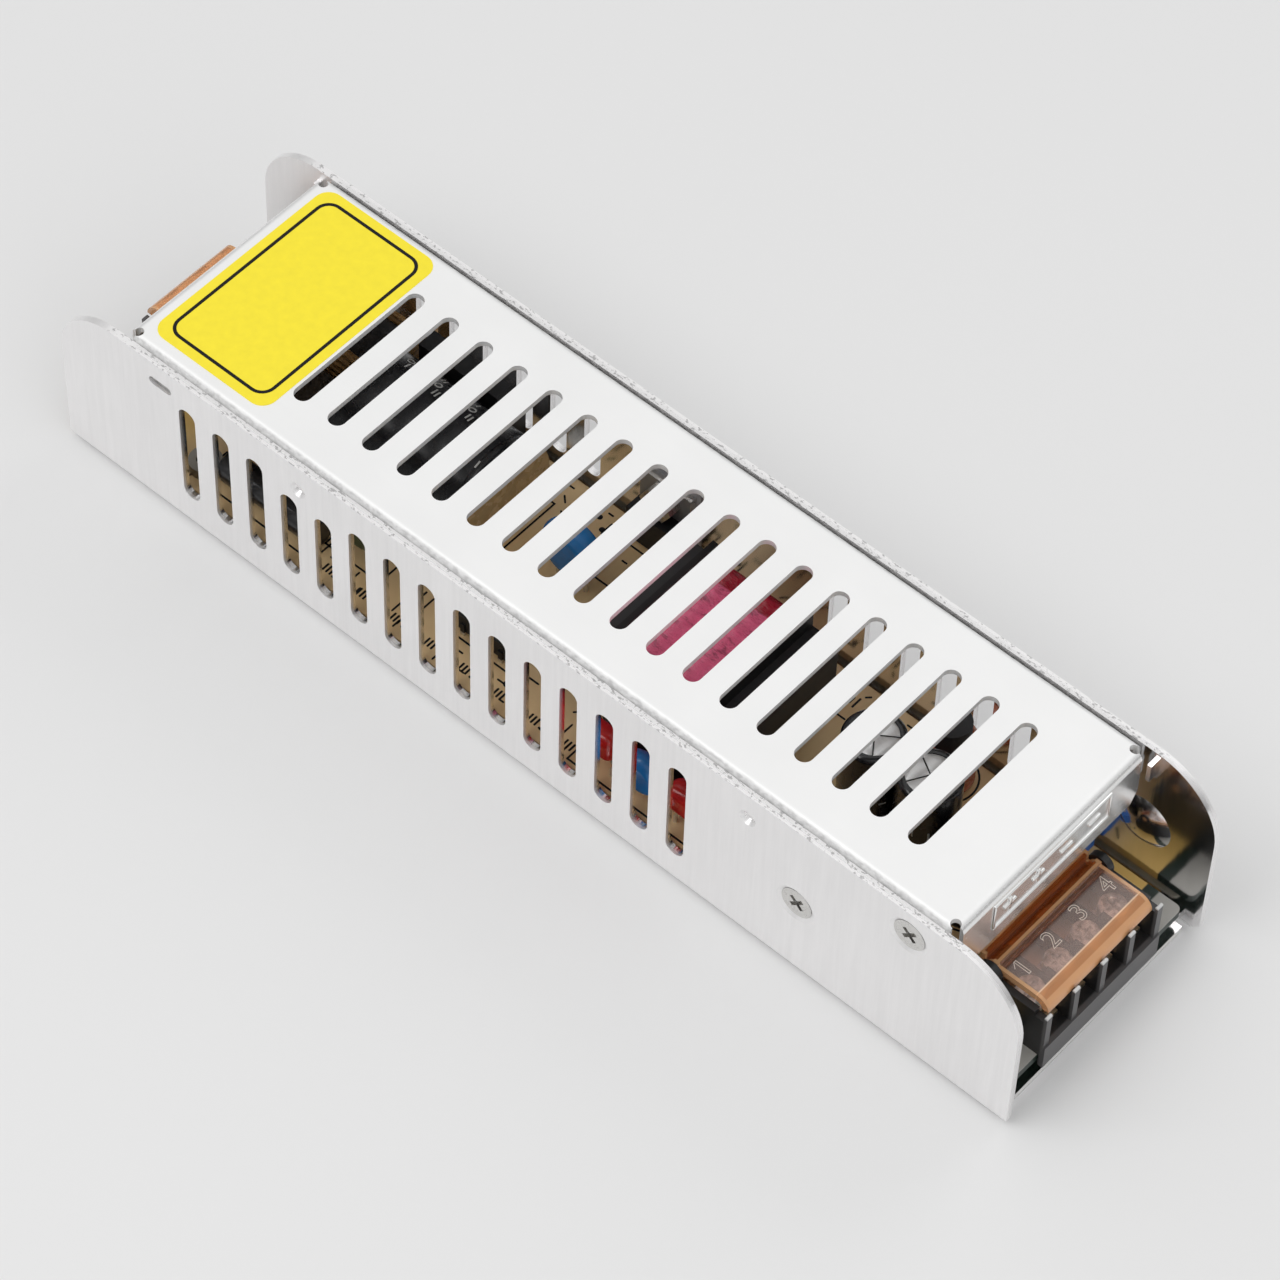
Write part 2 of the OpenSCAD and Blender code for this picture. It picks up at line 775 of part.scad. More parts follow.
device_screw_reach = 1;
device_screw_l = base_t + pad_t + device_tab_t + nut_h + device_screw_reach;
module output_rectifier() { color("black") at_wall(-1, rectifier_x) power_device(); }
module rectifier_pad() { color("lightgray") at_wall(-1, rectifier_x) device_pad(); }
module rectifier_nut() { color("silver") at_wall(-1, rectifier_x) device_nut(); }
module rectifier_screw() {
    color("silver") sunk_screw(-1, rectifier_x, device_screw_z, device_screw_l);
}
module switching_transistor() { color("black") at_wall(1, switch_x) power_device(); }
module transistor_pad() { color("lightgray") at_wall(1, switch_x) device_pad(); }
module transistor_nut() { color("silver") at_wall(1, switch_x) device_nut(); }
module transistor_screw() {
    color("silver") sunk_screw(1, switch_x, device_screw_z, device_screw_l);
}

// Places a child on the board
module on_board(x, y) {
    translate([x, y, board_top]) children();
}

can_edge_r = 0.8;
can_rim = 1.2;
can_dip = 0.3;
can_groove = 0.4;
can_groove_z = 2.2;

// Capacitor can standing on its seal, with a groove near the foot and a rolled upper edge
module can(r, h) {
    edge = r - can_edge_r;
    rotate_extrude() difference() {
        union() {
            square([edge, h]);
            square([r, h - can_edge_r]);
            translate([edge, h - can_edge_r]) circle(can_edge_r);
        }
        translate([r + can_groove, can_groove_z]) circle(2 * can_groove);
        translate([-2 * r, -h]) square([2 * r, 3 * h]);
        translate([-eps, h - can_dip]) square([r - can_rim, h]);
    }
}

bulk_x = -41.5;
bulk_wall_gap = 7.8;
bulk_y = inner_w - bulk_wall_gap - bulk_r;
module bulk_capacitor() {
    color("black") on_board(bulk_x + bulk_l / 2, bulk_y)
        translate([0, 0, bulk_r]) rotate([0, -90, 0]) can(bulk_r, bulk_l);
}

bridge_x = -46;
bridge_wall_gap = 2.6;
bridge_l = 19;
bridge_t = 3.6;
bridge_h = 12;
bridge_cut = 3;
bridge_lift = 2;
bridge_lead_r = 0.5;
bridge_lead_pitch = 5;

// Front view of the bridge rectifier's body, with its one cut corner
module bridge_outline() {
    half = bridge_l / 2;
    polygon([[-half, 0], [half, 0], [half, bridge_h - bridge_cut],
        [half - bridge_cut, bridge_h], [-half, bridge_h]]);
}
module bridge_rectifier() {
    color("black") on_board(bridge_x, inner_w - bridge_wall_gap - bridge_t / 2) {
        translate([0, 0, bridge_lift]) rotate([90, 0, 0])
            linear_extrude(bridge_t, center = true) bridge_outline();
        for (i = [0 : 3])
            translate([(i - 1.5) * bridge_lead_pitch, 0, 0])
                cylinder(r = bridge_lead_r, h = bridge_lift + eps);
    }
}

choke_x = -62.5;
choke_share = 0.55;
choke_y = choke_share * inner_w;
choke_r = 7.5;
choke_hole_r = 3.2;
choke_t = 6;
coat = 1.1;

// Ring core standing on edge across the board
module ring(r, hole, t) {
    translate([0, 0, choke_r]) rotate([0, 90, 0]) rotate_extrude()
        translate([hole, -t / 2]) square([r - hole, t]);
}

turns_spread = 55;

// Wire turns round two opposite arcs of the ring core
module ring_turns() {
    far = 2 * choke_r;
    side = far * tan(turns_spread);
    difference() {
        intersection() {
            ring(choke_r + coat, choke_hole_r - coat, choke_t + 2 * coat);
            translate([0, 0, choke_r]) rotate([0, 90, 0]) for (turn = [90, 270])
                rotate(turn) linear_extrude(2 * choke_t, center = true)
                    polygon([[0, 0], [far, -side], [far, side]]);
        }
        ring(choke_r, choke_hole_r, choke_t);
    }
}
module line_choke_core() {
    color("darkslategray") on_board(choke_x, choke_y) ring(choke_r, choke_hole_r, choke_t);
}
module line_choke_winding() { color("chocolate") on_board(choke_x, choke_y) ring_turns(); }

filter_x = -66;
filter_y = -3;
filter_l = 18;
filter_w = 8.5;
filter_h = 15;
filter_edge_r = 0.6;
module filter_capacitor() {
    color("goldenrod") on_board(filter_x, filter_y)
        round_block(filter_l, filter_w, filter_h, filter_edge_r);
}

fuse_x = -57;
fuse_inset = 6.4;
fuse_r = 2.6;
fuse_l = 20;
fuse_cap_l = 5;
fuse_cap_t = 0.25;
fuse_lift = 0.6;
module input_fuse() {
    color("lightgray") on_board(fuse_x - fuse_l / 2, fuse_inset - inner_w)
        translate([0, 0, fuse_r + fuse_lift]) rotate([0, 90, 0]) {
            cylinder(r = fuse_r - fuse_cap_t, h = fuse_l);
            for (z = [0, fuse_l - fuse_cap_l])
                translate([0, 0, z]) cylinder(r = fuse_r, h = fuse_cap_l);
        }
}

// Dipped disc standing on two leads
module standing_disc(r, t, lift) {
    translate([0, 0, lift + r]) rotate([90, 0, 0]) rotate_extrude() {
        translate([0, -t / 2]) square([r - t / 2, t]);
        intersection() {
            translate([r - t / 2, 0]) circle(t / 2);
            translate([0, -t]) square([2 * r, 2 * t]);
        }
    }
    for (s = [-1, 1])
        translate([s * r / 2, 0, 0]) cylinder(r = lead_r, h = lift + r / 2);
}

disc_lift = 2.4;
thermistor_r = 5;
thermistor_t = 4;
thermistor_gap = 4;
thermistor_y = bulk_y - bulk_r - thermistor_gap - thermistor_t / 2;
module inrush_thermistor() {
    color("darkolivegreen") on_board(bulk_x, thermistor_y)
        standing_disc(thermistor_r, thermistor_t, disc_lift);
}

coupling_x = -14.5;
coupling_y = 5.4;
coupling_r = 5.6;
coupling_t = 4.4;
module coupling_capacitor() {
    color("steelblue") on_board(coupling_x, coupling_y)
        standing_disc(coupling_r, coupling_t, disc_lift);
}

wall_row_inset = 4.2;
blue_disc_x = 20;
blue_disc_r = 4;
blue_disc_t = 3.4;
module blue_disc_capacitor() {
    color("dodgerblue") on_board(blue_disc_x, wall_row_inset - inner_w)
        standing_disc(blue_disc_r, blue_disc_t, disc_lift);
}

winding_x = 17.4;
winding_y = -0.5;
winding_r = 3;
bobbin_t = 1;
bobbin_foot = 1.4;
core_w = 14;
core_leg = 5;
core_fit = 0.1;
winding_fit = 0.1;
winding_drop = 0.4;
core_z = bobbin_foot + bobbin_t;

// Tape-wrapped coil with round long edges, lying along the case
module coil_shape(l, w, h, r) {
    rotate([90, 0, 90]) linear_extrude(l, center = true) translate([0, h / 2]) round_rect(w, h, r);
}

module transformer_core() {
    l = winding_l + 2 * (bobbin_t + core_t);
    mid = core_z + winding_h / 2;
    color("dimgray") on_board(winding_x, winding_y) {
        for (s = [-1, 1])
            translate([s * (l - core_t) / 2, 0, mid])
                cube([core_t, winding_w, core_w], center = true);
        translate([0, 0, mid]) cube([l, core_leg * 2, core_leg], center = true);
    }
}

// Bar along the case in the place of the core's middle leg, grown by a margin
module leg_bar(l, margin) {
    translate([0, 0, core_z + winding_h / 2])
        cube([l, 2 * (core_leg + margin), core_leg + 2 * margin], center = true);
}
module transformer_bobbin() {
    l = winding_l + 2 * bobbin_t;
    color("black") on_board(winding_x, winding_y) difference() {
        union() {
            for (s = [-1, 1])
                translate([s * (l - bobbin_t) / 2, 0, (core_z + winding_h) / 2])
                    cube([bobbin_t, winding_w, core_z + winding_h], center = true);
            translate([0, 0, bobbin_t / 2]) cube([l, winding_w, bobbin_t], center = true);
            leg_bar(l, bobbin_t);
        }
        leg_bar(through, core_fit);
    }
}
module transformer_winding() {
    l = winding_l - 2 * winding_fit;
    color("palevioletred") on_board(winding_x, winding_y) difference() {
        translate([0, 0, core_z - winding_drop])
            coil_shape(l, winding_w - 2 * winding_drop, winding_h, winding_r);
        leg_bar(through, bobbin_t + winding_fit);
    }
}

can_x = 46.5;
can_y = 2.5;
can_gap = 0.5;
can_pitch = 2 * can_r + can_gap;
short_can_h = can_h - can_r;
short_can_shift = 2;
short_can_y = can_y - short_can_shift;
module output_capacitors() {
    color("black") {
        for (i = [0 : 1])
            on_board(can_x + i * can_pitch, can_y) can(can_r, can_h);
        on_board(can_x + 2 * can_pitch, short_can_y) can(can_r, short_can_h);
    }
}

rod_x = 51;
rod_inset = 6.2;
rod_r = 3;
rod_h = 14;
coil_wire = 1.2;
coil_turns = 8;
coil_step = 0.9 * coil_wire;
coil_low = 1;
module output_choke_core() {
    color("dimgray") on_board(rod_x, inner_w - rod_inset) cylinder(r = rod_r, h = rod_h);
}
module output_choke_winding() {
    mid = rod_r + coil_wire / 2;
    color("orangered") on_board(rod_x, inner_w - rod_inset) rotate_extrude() difference() {
        union() {
            translate([0, coil_low]) square([mid, coil_turns * coil_step]);
            for (i = [0 : coil_turns])
                translate([mid, coil_low + i * coil_step]) circle(coil_wire / 2);
        }
        translate([-rod_r, -rod_h]) square([2 * rod_r, 3 * rod_h]);
    }
}

film_cap_x = [11.5, 29];
film_cap_l = 7.4;
film_cap_t = 4.4;
film_cap_h = 10;
film_cap_r = 1.6;
module film_capacitors() {
    color("firebrick") for (x = film_cap_x)
        on_board(x, wall_row_inset - inner_w)
            round_block(film_cap_l, film_cap_t, film_cap_h, film_cap_r);
}

chip_lift = 0.8;
chip_h = 3.4;
leg_w = 0.8;
leg_t = 0.4;
leg_h = 2.6;

// Moulded chip with a row of flat legs along each long side
module chip(l, w, legs) {
    translate([0, 0, chip_lift + chip_h / 2]) cube([l, w, chip_h], center = true);
    for (i = [0 : legs - 1], side = [-1, 1])
        translate([(i - (legs - 1) / 2) * lead_pitch, side * (w / 2 + leg_t / 4), leg_h / 2])
            cube([leg_w, leg_t, leg_h], center = true);
}

opto_x = -4;
opto_y = -6;
opto_l = 4.6;
opto_w = 6.4;
module optocoupler() { color("black") on_board(opto_x, opto_y) rotate(90) chip(opto_l, opto_w, 2); }

control_x = -16;
control_y = -10;
control_l = 10;
control_w = 6.4;
module control_chip() { color("black") on_board(control_x, control_y) chip(control_l, control_w, 4); }

trimmer_gap = 0.6;
trimmer_wall_gap = 0.95;
trimmer_x = boss_out_x + board_head_r + trimmer_gap + trimmer_w / 2;
trimmer_y = inner_w - trimmer_wall_gap - trimmer_w / 2;
trimmer_edge_r = 0.4;
rotor_h = 1;
rotor_gap = 0.3;
rotor_stem_r = 0.55 * rotor_r;
rotor_stem_h = 2;
rotor_slot_l = 1.7 * rotor_r;
rotor_slot_depth = 0.6;
module voltage_trimmer() {
    low = trimmer_h - rotor_stem_h - rotor_gap;
    color("royalblue") on_board(trimmer_x, trimmer_y) difference() {
        round_block(trimmer_w, trimmer_w, trimmer_h, trimmer_edge_r);
        translate([0, 0, low]) cylinder(r = rotor_stem_r + hinge_fit, h = through);
    }
}
module trimmer_rotor() {
    color("white") on_board(trimmer_x, trimmer_y) translate([0, 0, trimmer_h]) difference() {
        union() {
            translate([0, 0, -rotor_stem_h])
                cylinder(r = rotor_stem_r, h = rotor_stem_h + rotor_gap + eps);
            translate([0, 0, rotor_gap]) cylinder(r = rotor_r, h = rotor_h);
        }
        translate([0, 0, rotor_gap + rotor_h])
            cube([rotor_slot_l, recess_w, 2 * rotor_slot_depth], center = true);
    }
}

lamp_x = 74;
lamp_y = -10;
lamp_r = 1.5;
lamp_h = 3.6;
lamp_rim = 0.4;
lamp_rim_h = 1;
module indicator_lamp() {
    color("limegreen") on_board(lamp_x, lamp_y) {
        cylinder(r = lamp_r + lamp_rim, h = lamp_rim_h);
        cylinder(r = lamp_r, h = lamp_h);
        translate([0, 0, lamp_h]) sphere(lamp_r);
    }
}

base_channel();
top_cover();
cover_screw();
circuit_board();
insulating_film();
board_screws();
output_terminal_block();
output_terminal_contacts();
output_terminal_clamps();
output_terminal_screws();
output_terminal_cover();
input_terminal_block();
input_terminal_contacts();
input_terminal_clamps();
input_terminal_screws();
input_terminal_cover();
output_rectifier();
rectifier_pad();
rectifier_screw();
rectifier_nut();
switching_transistor();
transistor_pad();
transistor_screw();
transistor_nut();
bulk_capacitor();
bridge_rectifier();
line_choke_core();
line_choke_winding();
filter_capacitor();
input_fuse();
inrush_thermistor();
coupling_capacitor();
transformer_core();
transformer_bobbin();
transformer_winding();
output_capacitors();
output_choke_core();
output_choke_winding();
film_capacitors();
blue_disc_capacitor();
optocoupler();
control_chip();
voltage_trimmer();
trimmer_rotor();
indicator_lamp();
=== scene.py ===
import json
import math

import bpy
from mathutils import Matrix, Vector


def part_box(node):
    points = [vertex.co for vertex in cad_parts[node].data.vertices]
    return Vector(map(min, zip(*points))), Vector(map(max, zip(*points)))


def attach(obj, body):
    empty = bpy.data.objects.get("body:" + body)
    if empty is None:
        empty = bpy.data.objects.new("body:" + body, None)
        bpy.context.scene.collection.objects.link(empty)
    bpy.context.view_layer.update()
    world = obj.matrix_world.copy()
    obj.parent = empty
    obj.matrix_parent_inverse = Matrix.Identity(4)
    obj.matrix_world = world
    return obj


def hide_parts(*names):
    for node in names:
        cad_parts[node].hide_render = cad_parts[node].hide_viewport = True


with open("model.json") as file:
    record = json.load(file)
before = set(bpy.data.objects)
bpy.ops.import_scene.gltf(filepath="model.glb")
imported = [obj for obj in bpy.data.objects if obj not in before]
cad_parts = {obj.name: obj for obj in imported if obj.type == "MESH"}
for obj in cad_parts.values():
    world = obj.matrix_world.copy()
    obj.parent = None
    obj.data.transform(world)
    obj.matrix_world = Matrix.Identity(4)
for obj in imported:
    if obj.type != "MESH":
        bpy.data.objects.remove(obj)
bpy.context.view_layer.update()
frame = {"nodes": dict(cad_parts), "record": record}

# Camera and stage

MM = 0.001
CAMERA_PLACE = (0.30414, -0.36140, 0.64140)
CAMERA_TURN = (36.723, -1.248, 41.393)
CAMERA_LENS = 147.9
CAMERA_SENSOR = 36.0
CAMERA_CLIP = (0.01, 20.0)
FLOOR_SIZE = 6.0
FLOOR_GAP = 0.1 * MM

# Colours

BRUSHED_GREY = (0.92, 0.91, 0.91)
COVER_WHITE = (0.94, 0.94, 0.935)
# Board colours hold painted light: a lighter tan for the dim middle, a darker gold as shade at the ends
BOARD_TAN = (0.97, 0.71, 0.39)
BOARD_DARK = (0.82, 0.57, 0.29)
BOARD_SHADED_END = (0.86, 0.56, 0.17)
# Dark mask by the output edge, also painted shade of the output block
BOARD_MASK_AND_SHADE = (0.010, 0.024, 0.017)
BOARD_STRIP = (0.44, 0.43, 0.40)
STICKER_YELLOW = (0.95, 0.79, 0.025)
INK_BLACK = (0.012, 0.012, 0.013)
SLEEVE_PRINT = (0.52, 0.52, 0.50)
MOULDED_BLACK = (0.013, 0.013, 0.014)
# Painted sheen on the block's nose and painted glints on its rib tips
NOSE_SHEEN_GREY = (0.085, 0.082, 0.084)
TIP_GLINT_PALE = (0.64, 0.64, 0.63)
# Amber colours paint light in the clear cover: glow, shade in the trough, sheen and a highlight line
AMBER_EDGE_GLOW = (1.0, 0.57, 0.29)
AMBER_TROUGH_SHADE = (0.62, 0.17, 0.035)
AMBER_DIM_SHEEN = (0.62, 0.42, 0.34)
AMBER_PLATE_SHEEN = (0.93, 0.74, 0.67)
AMBER_LINE_HIGHLIGHT = (1.0, 0.72, 0.50)
AMBER_LIP_GLOW = (1.0, 0.49, 0.21)
NUMERAL_HIGHLIGHT = (1.0, 0.86, 0.76)
SCREW_STEEL = (0.68, 0.67, 0.65)
# Painted glints of the terminal screws, in blotches over a dull grey
SCREW_GLINT = (0.86, 0.84, 0.82)
SCREW_DULL = (0.40, 0.385, 0.37)
BOARD_SCREW = (0.30, 0.28, 0.25)
CONTACT_BRASS = (0.78, 0.68, 0.48)
TIN_GREY = (0.74, 0.74, 0.73)
TAPE_PINK = (0.86, 0.15, 0.30)
TAPE_RED = (0.44, 0.010, 0.035)
FERRITE_GREY = (0.032, 0.032, 0.034)
SLEEVE_BLACK = (0.010, 0.010, 0.012)
CAN_SILVER = (0.86, 0.86, 0.86)
WIRE_COPPER = (0.50, 0.13, 0.05)
WIRE_GOLD = (0.44, 0.25, 0.095)
DISC_BLUE = (0.024, 0.21, 0.55)
TRIMMER_BLUE = (0.02, 0.17, 0.66)
DIPPED_RED = (0.62, 0.022, 0.018)
BOX_YELLOW = (0.72, 0.46, 0.05)
BOX_BROWN = (0.035, 0.026, 0.019)
SEAL_BROWN = (0.70, 0.49, 0.24)
DISC_OLIVE = (0.06, 0.075, 0.03)
PAD_GREY = (0.45, 0.45, 0.47)
FILM_IVORY = (0.70, 0.67, 0.56)
GLUE_WHITE = (0.74, 0.73, 0.69)
LAMP_GREEN = (0.10, 0.62, 0.16)
ROTOR_WHITE = (0.80, 0.80, 0.77)
FLOOR_PALE = (0.78, 0.78, 0.78)

# Places on the case, most of them from the frame

CASE_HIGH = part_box("base_channel")[1]
COVER_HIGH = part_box("top_cover")[1]
BOARD_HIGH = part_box("circuit_board")[1]
WALL_INSIDE = CASE_HIGH.y - 0.9 * MM
WALL_OUTSIDE = CASE_HIGH.y - 0.2 * MM
BASE_INSIDE = 0.7 * MM
BASE_OUTSIDE = 0.2 * MM
RIM_Z = CASE_HIGH.z - 0.2 * MM
EAR_START = 18.0 * MM - CASE_HIGH.x
EAR_END = 15.0 * MM - CASE_HIGH.x
FOLD_Y = COVER_HIGH.y - 1.1 * MM
FLANGE_X = COVER_HIGH.x
FLANGE_BEND = FLANGE_X - 1.4 * MM
FLANGE_BEND_W = 1.1 * MM
BOARD_TOP = BOARD_HIGH.z
BOARD_END_START = BOARD_HIGH.x - 18.4 * MM
BOARD_END_BLUR = 6.0 * MM
BOARD_MASK_START = BOARD_HIGH.x - 6.5 * MM
BOARD_STRIP_START = BOARD_HIGH.x - 4.4 * MM
POLE_PITCH = 6.35 * MM
NOSE_DEPTH = 1.0 * MM
TIP_Z = 14.7 * MM
COIL_Y = (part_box("transformer_winding")[0].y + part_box("transformer_winding")[1].y) / 2
TAPE_TURN = 6.6 * MM
SEAL_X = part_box("bulk_capacitor")[1].x - 0.25 * MM

# Heights over the board at which bare legs end, and the face of the power devices' tabs

CHIP_LEGS = 0.8 * MM
DEVICE_LEGS = 1.0 * MM
BRIDGE_LEGS = 2.0 * MM
DISC_LEGS = 2.3 * MM
LEG_BLUR = 0.1 * MM
TAB_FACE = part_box("switching_transistor")[1].y - 1.3 * MM
TAB_BLUR = 0.06 * MM


# Finishes

EVEN = (1.0, 1.0, 1.0)
INK_GLOSS = 0.15
MIX_FIRST = 6
MIX_SECOND = 7
MIX_RESULT = 2


def shader_of(finish):
    return finish.node_tree.nodes["Principled BSDF"]


def plain_finish(name, colour, rough, metal=0.0):
    """Starts a finish from its colour, roughness and metal share."""
    finish = bpy.data.materials.new(name)
    finish.use_nodes = True
    shader = shader_of(finish)
    shader.inputs["Base Color"].default_value = (*colour, 1.0)
    shader.inputs["Roughness"].default_value = rough
    shader.inputs["Metallic"].default_value = metal
    return finish


def add_node(finish, kind, **settings):
    """Adds a node and sets its inputs, or else its properties, by name."""
    made = finish.node_tree.nodes.new(kind)
    for key, value in settings.items():
        if key in made.inputs:
            made.inputs[key].default_value = value
        else:
            setattr(made, key, value)
    return made


def join_sockets(finish, start, end):
    finish.node_tree.links.new(start, end)


def feed(finish, socket, source):
    """Leads a varying value into a socket of the finish's shader."""
    join_sockets(finish, source, shader_of(finish).inputs[socket])


def object_places(finish, stretch=EVEN):
    """Object coordinates, stretched along each axis."""
    places = add_node(finish, "ShaderNodeTexCoord")
    mapping = add_node(finish, "ShaderNodeMapping", Scale=stretch)
    join_sockets(finish, places.outputs["Object"], mapping.inputs["Vector"])
    return mapping.outputs["Vector"]


def noise(finish, scale, stretch=EVEN, detail=3.0, rough=0.5):
    """Value from 0 to 1 that varies in lumps, about scale of them to the metre."""
    texture = add_node(finish, "ShaderNodeTexNoise", Scale=scale, Detail=detail, Roughness=rough)
    join_sockets(finish, object_places(finish, stretch), texture.inputs["Vector"])
    return texture.outputs["Fac"]


def ramp(finish, source, stops):
    """Colour ramp over a value: stops are (place, colour)."""
    colours = add_node(finish, "ShaderNodeValToRGB")
    elements = colours.color_ramp.elements
    while len(elements) < len(stops):
        elements.new(0.5)
    for element, (place, colour) in zip(elements, stops):
        element.position = place
        element.color = (*colour, 1.0)
    join_sockets(finish, source, colours.inputs["Fac"])
    return colours.outputs["Color"]


def spread(finish, source, low, high, start=0.0, end=1.0):
    """Maps a value from start..end to low..high, and holds it there."""
    mapped = add_node(finish, "ShaderNodeMapRange")
    for socket, value in (("From Min", start), ("From Max", end), ("To Min", low), ("To Max", high)):
        mapped.inputs[socket].default_value = value
    join_sockets(finish, source, mapped.inputs["Value"])
    return mapped.outputs["Result"]


def place_along(finish, axis, low, high, middle=None):
    """Value from 0 to 1 between two places on an axis, or between two distances from a middle."""
    places = add_node(finish, "ShaderNodeTexCoord")
    parts = add_node(finish, "ShaderNodeSeparateXYZ")
    join_sockets(finish, places.outputs["Object"], parts.inputs["Vector"])
    source = parts.outputs[axis]
    if middle is not None:
        shift = add_node(finish, "ShaderNodeMath", operation="SUBTRACT")
        shift.inputs[1].default_value = middle
        join_sockets(finish, source, shift.inputs[0])
        size = add_node(finish, "ShaderNodeMath", operation="ABSOLUTE")
        join_sockets(finish, shift.outputs["Value"], size.inputs[0])
        source = size.outputs["Value"]
    return spread(finish, source, 0.0, 1.0, low, high)


def past(finish, axis, place, blur, middle=None):
    """Value that rises from 0 to 1 over a short blur past a place."""
    return place_along(finish, axis, place, place + blur, middle)


def combine(finish, operation, first, second):
    """Reckons with two varying values."""
    made = add_node(finish, "ShaderNodeMath", operation=operation)
    join_sockets(finish, first, made.inputs[0])
    join_sockets(finish, second, made.inputs[1])
    return made.outputs["Value"]


def blend_colours(finish, share, first, second):
    """Mixes two varying colours by a varying share."""
    mix = add_node(finish, "ShaderNodeMix", data_type="RGBA")
    join_sockets(finish, share, mix.inputs["Factor"])
    join_sockets(finish, first, mix.inputs[MIX_FIRST])
    join_sockets(finish, second, mix.inputs[MIX_SECOND])
    return mix.outputs[MIX_RESULT]


def raise_bumps(finish, height, strength, distance):
    """Lets a varying height tilt the surface's light."""
    bump = add_node(finish, "ShaderNodeBump", Strength=strength, Distance=distance)
    join_sockets(finish, height, bump.inputs["Height"])
    feed(finish, "Normal", bump.outputs["Normal"])


def shade(colour, amount):
    return tuple(min(1.0, c * amount) for c in colour)


def varied(finish, source, colour, low, high):
    """Colour that changes between two shades of itself."""
    return ramp(finish, source, [(0.25, shade(colour, low)), (0.75, shade(colour, high))])


def vary_colour(finish, source, colour, low, high):
    feed(finish, "Base Color", varied(finish, source, colour, low, high))


def vary_rough(finish, source, rough, less=0.08, more=0.10):
    feed(finish, "Roughness", spread(finish, source, rough - less, rough + more))


def brushed_channel():
    """Rolled sheet, brushed upright outside and on the input ears, left bright inside,
    with the specks of the shears on its top edges."""
    rough = 0.36
    inside_rough = 0.12
    outside_metal = 0.72
    finish = plain_finish("brushed_channel", BRUSHED_GREY, rough, 1.0)
    lines = noise(finish, scale=1500.0, stretch=(1.0, 1.0, 0.04), detail=4.0, rough=0.65)
    blotches = noise(finish, scale=45.0)
    grained = combine(finish, "ADD", spread(finish, lines, 0.0, 0.6), spread(finish, blotches, 0.0, 0.4))
    sheet = varied(finish, grained, BRUSHED_GREY, 0.93, 1.05)
    specks = noise(finish, scale=2400.0, stretch=(0.6, 1.0, 1.0), detail=2.0)
    sheared = ramp(finish, specks, [(0.34, shade(BRUSHED_GREY, 0.60)), (0.44, shade(BRUSHED_GREY, 1.05))])
    rim = past(finish, "Z", RIM_Z, blur=0.1 * MM)
    feed(finish, "Base Color", blend_colours(finish, rim, sheet, sheared))
    walls = place_along(finish, "Y", WALL_INSIDE, WALL_OUTSIDE, middle=0.0)
    underside = place_along(finish, "Z", BASE_INSIDE, BASE_OUTSIDE)
    ears = place_along(finish, "X", EAR_START, EAR_END)
    outside = combine(finish, "MAXIMUM", combine(finish, "MAXIMUM", walls, underside), ears)
    wear_and_sheen = spread(finish, lines, -0.05, 0.08)
    feed(finish, "Roughness", combine(finish, "ADD", spread(finish, outside, inside_rough, rough), wear_and_sheen))
    feed(finish, "Metallic", spread(finish, outside, 1.0, outside_metal))
    raise_bumps(finish, lines, strength=0.08, distance=0.1 * MM)
    return finish


def satin_cover():
    """Pale satin sheet of the cover with a faint grain along the case, brighter on the end flanges
    and rougher on the long folds, which are painted a specked grey as painted shade."""
    rough = 0.46
    metal = 0.45
    fold_wear = 0.3
    flange_rough = 0.24
    flange_metal = 0.96
    finish = plain_finish("satin_cover", COVER_WHITE, rough, metal)
    lines = noise(finish, scale=1200.0, stretch=(0.05, 1.0, 1.0), detail=4.0, rough=0.6)
    blotches = noise(finish, scale=60.0)
    sheet = varied(finish, blotches, COVER_WHITE, 0.975, 1.02)
    specks = noise(finish, scale=1800.0, stretch=(0.5, 1.0, 1.0))
    # painted shade: the long folds are painted a specked grey, darker than the sheet
    fold_shade_specks = ramp(finish, specks, [(0.35, shade(COVER_WHITE, 0.66)), (0.60, shade(COVER_WHITE, 0.86))])
    fold = past(finish, "Y", FOLD_Y, blur=0.5 * MM, middle=0.0)
    feed(finish, "Base Color", blend_colours(finish, fold, sheet, fold_shade_specks))
    flange = past(finish, "X", FLANGE_BEND, FLANGE_BEND_W, middle=0.0)
    wear_and_sheen = combine(finish, "ADD", spread(finish, lines, -0.07, 0.08), spread(finish, fold, 0.0, fold_wear))
    feed(finish, "Roughness", combine(finish, "ADD", spread(finish, flange, rough, flange_rough), wear_and_sheen))
    feed(finish, "Metallic", spread(finish, flange, metal, flange_metal))
    raise_bumps(finish, lines, strength=0.06, distance=0.1 * MM)
    return finish


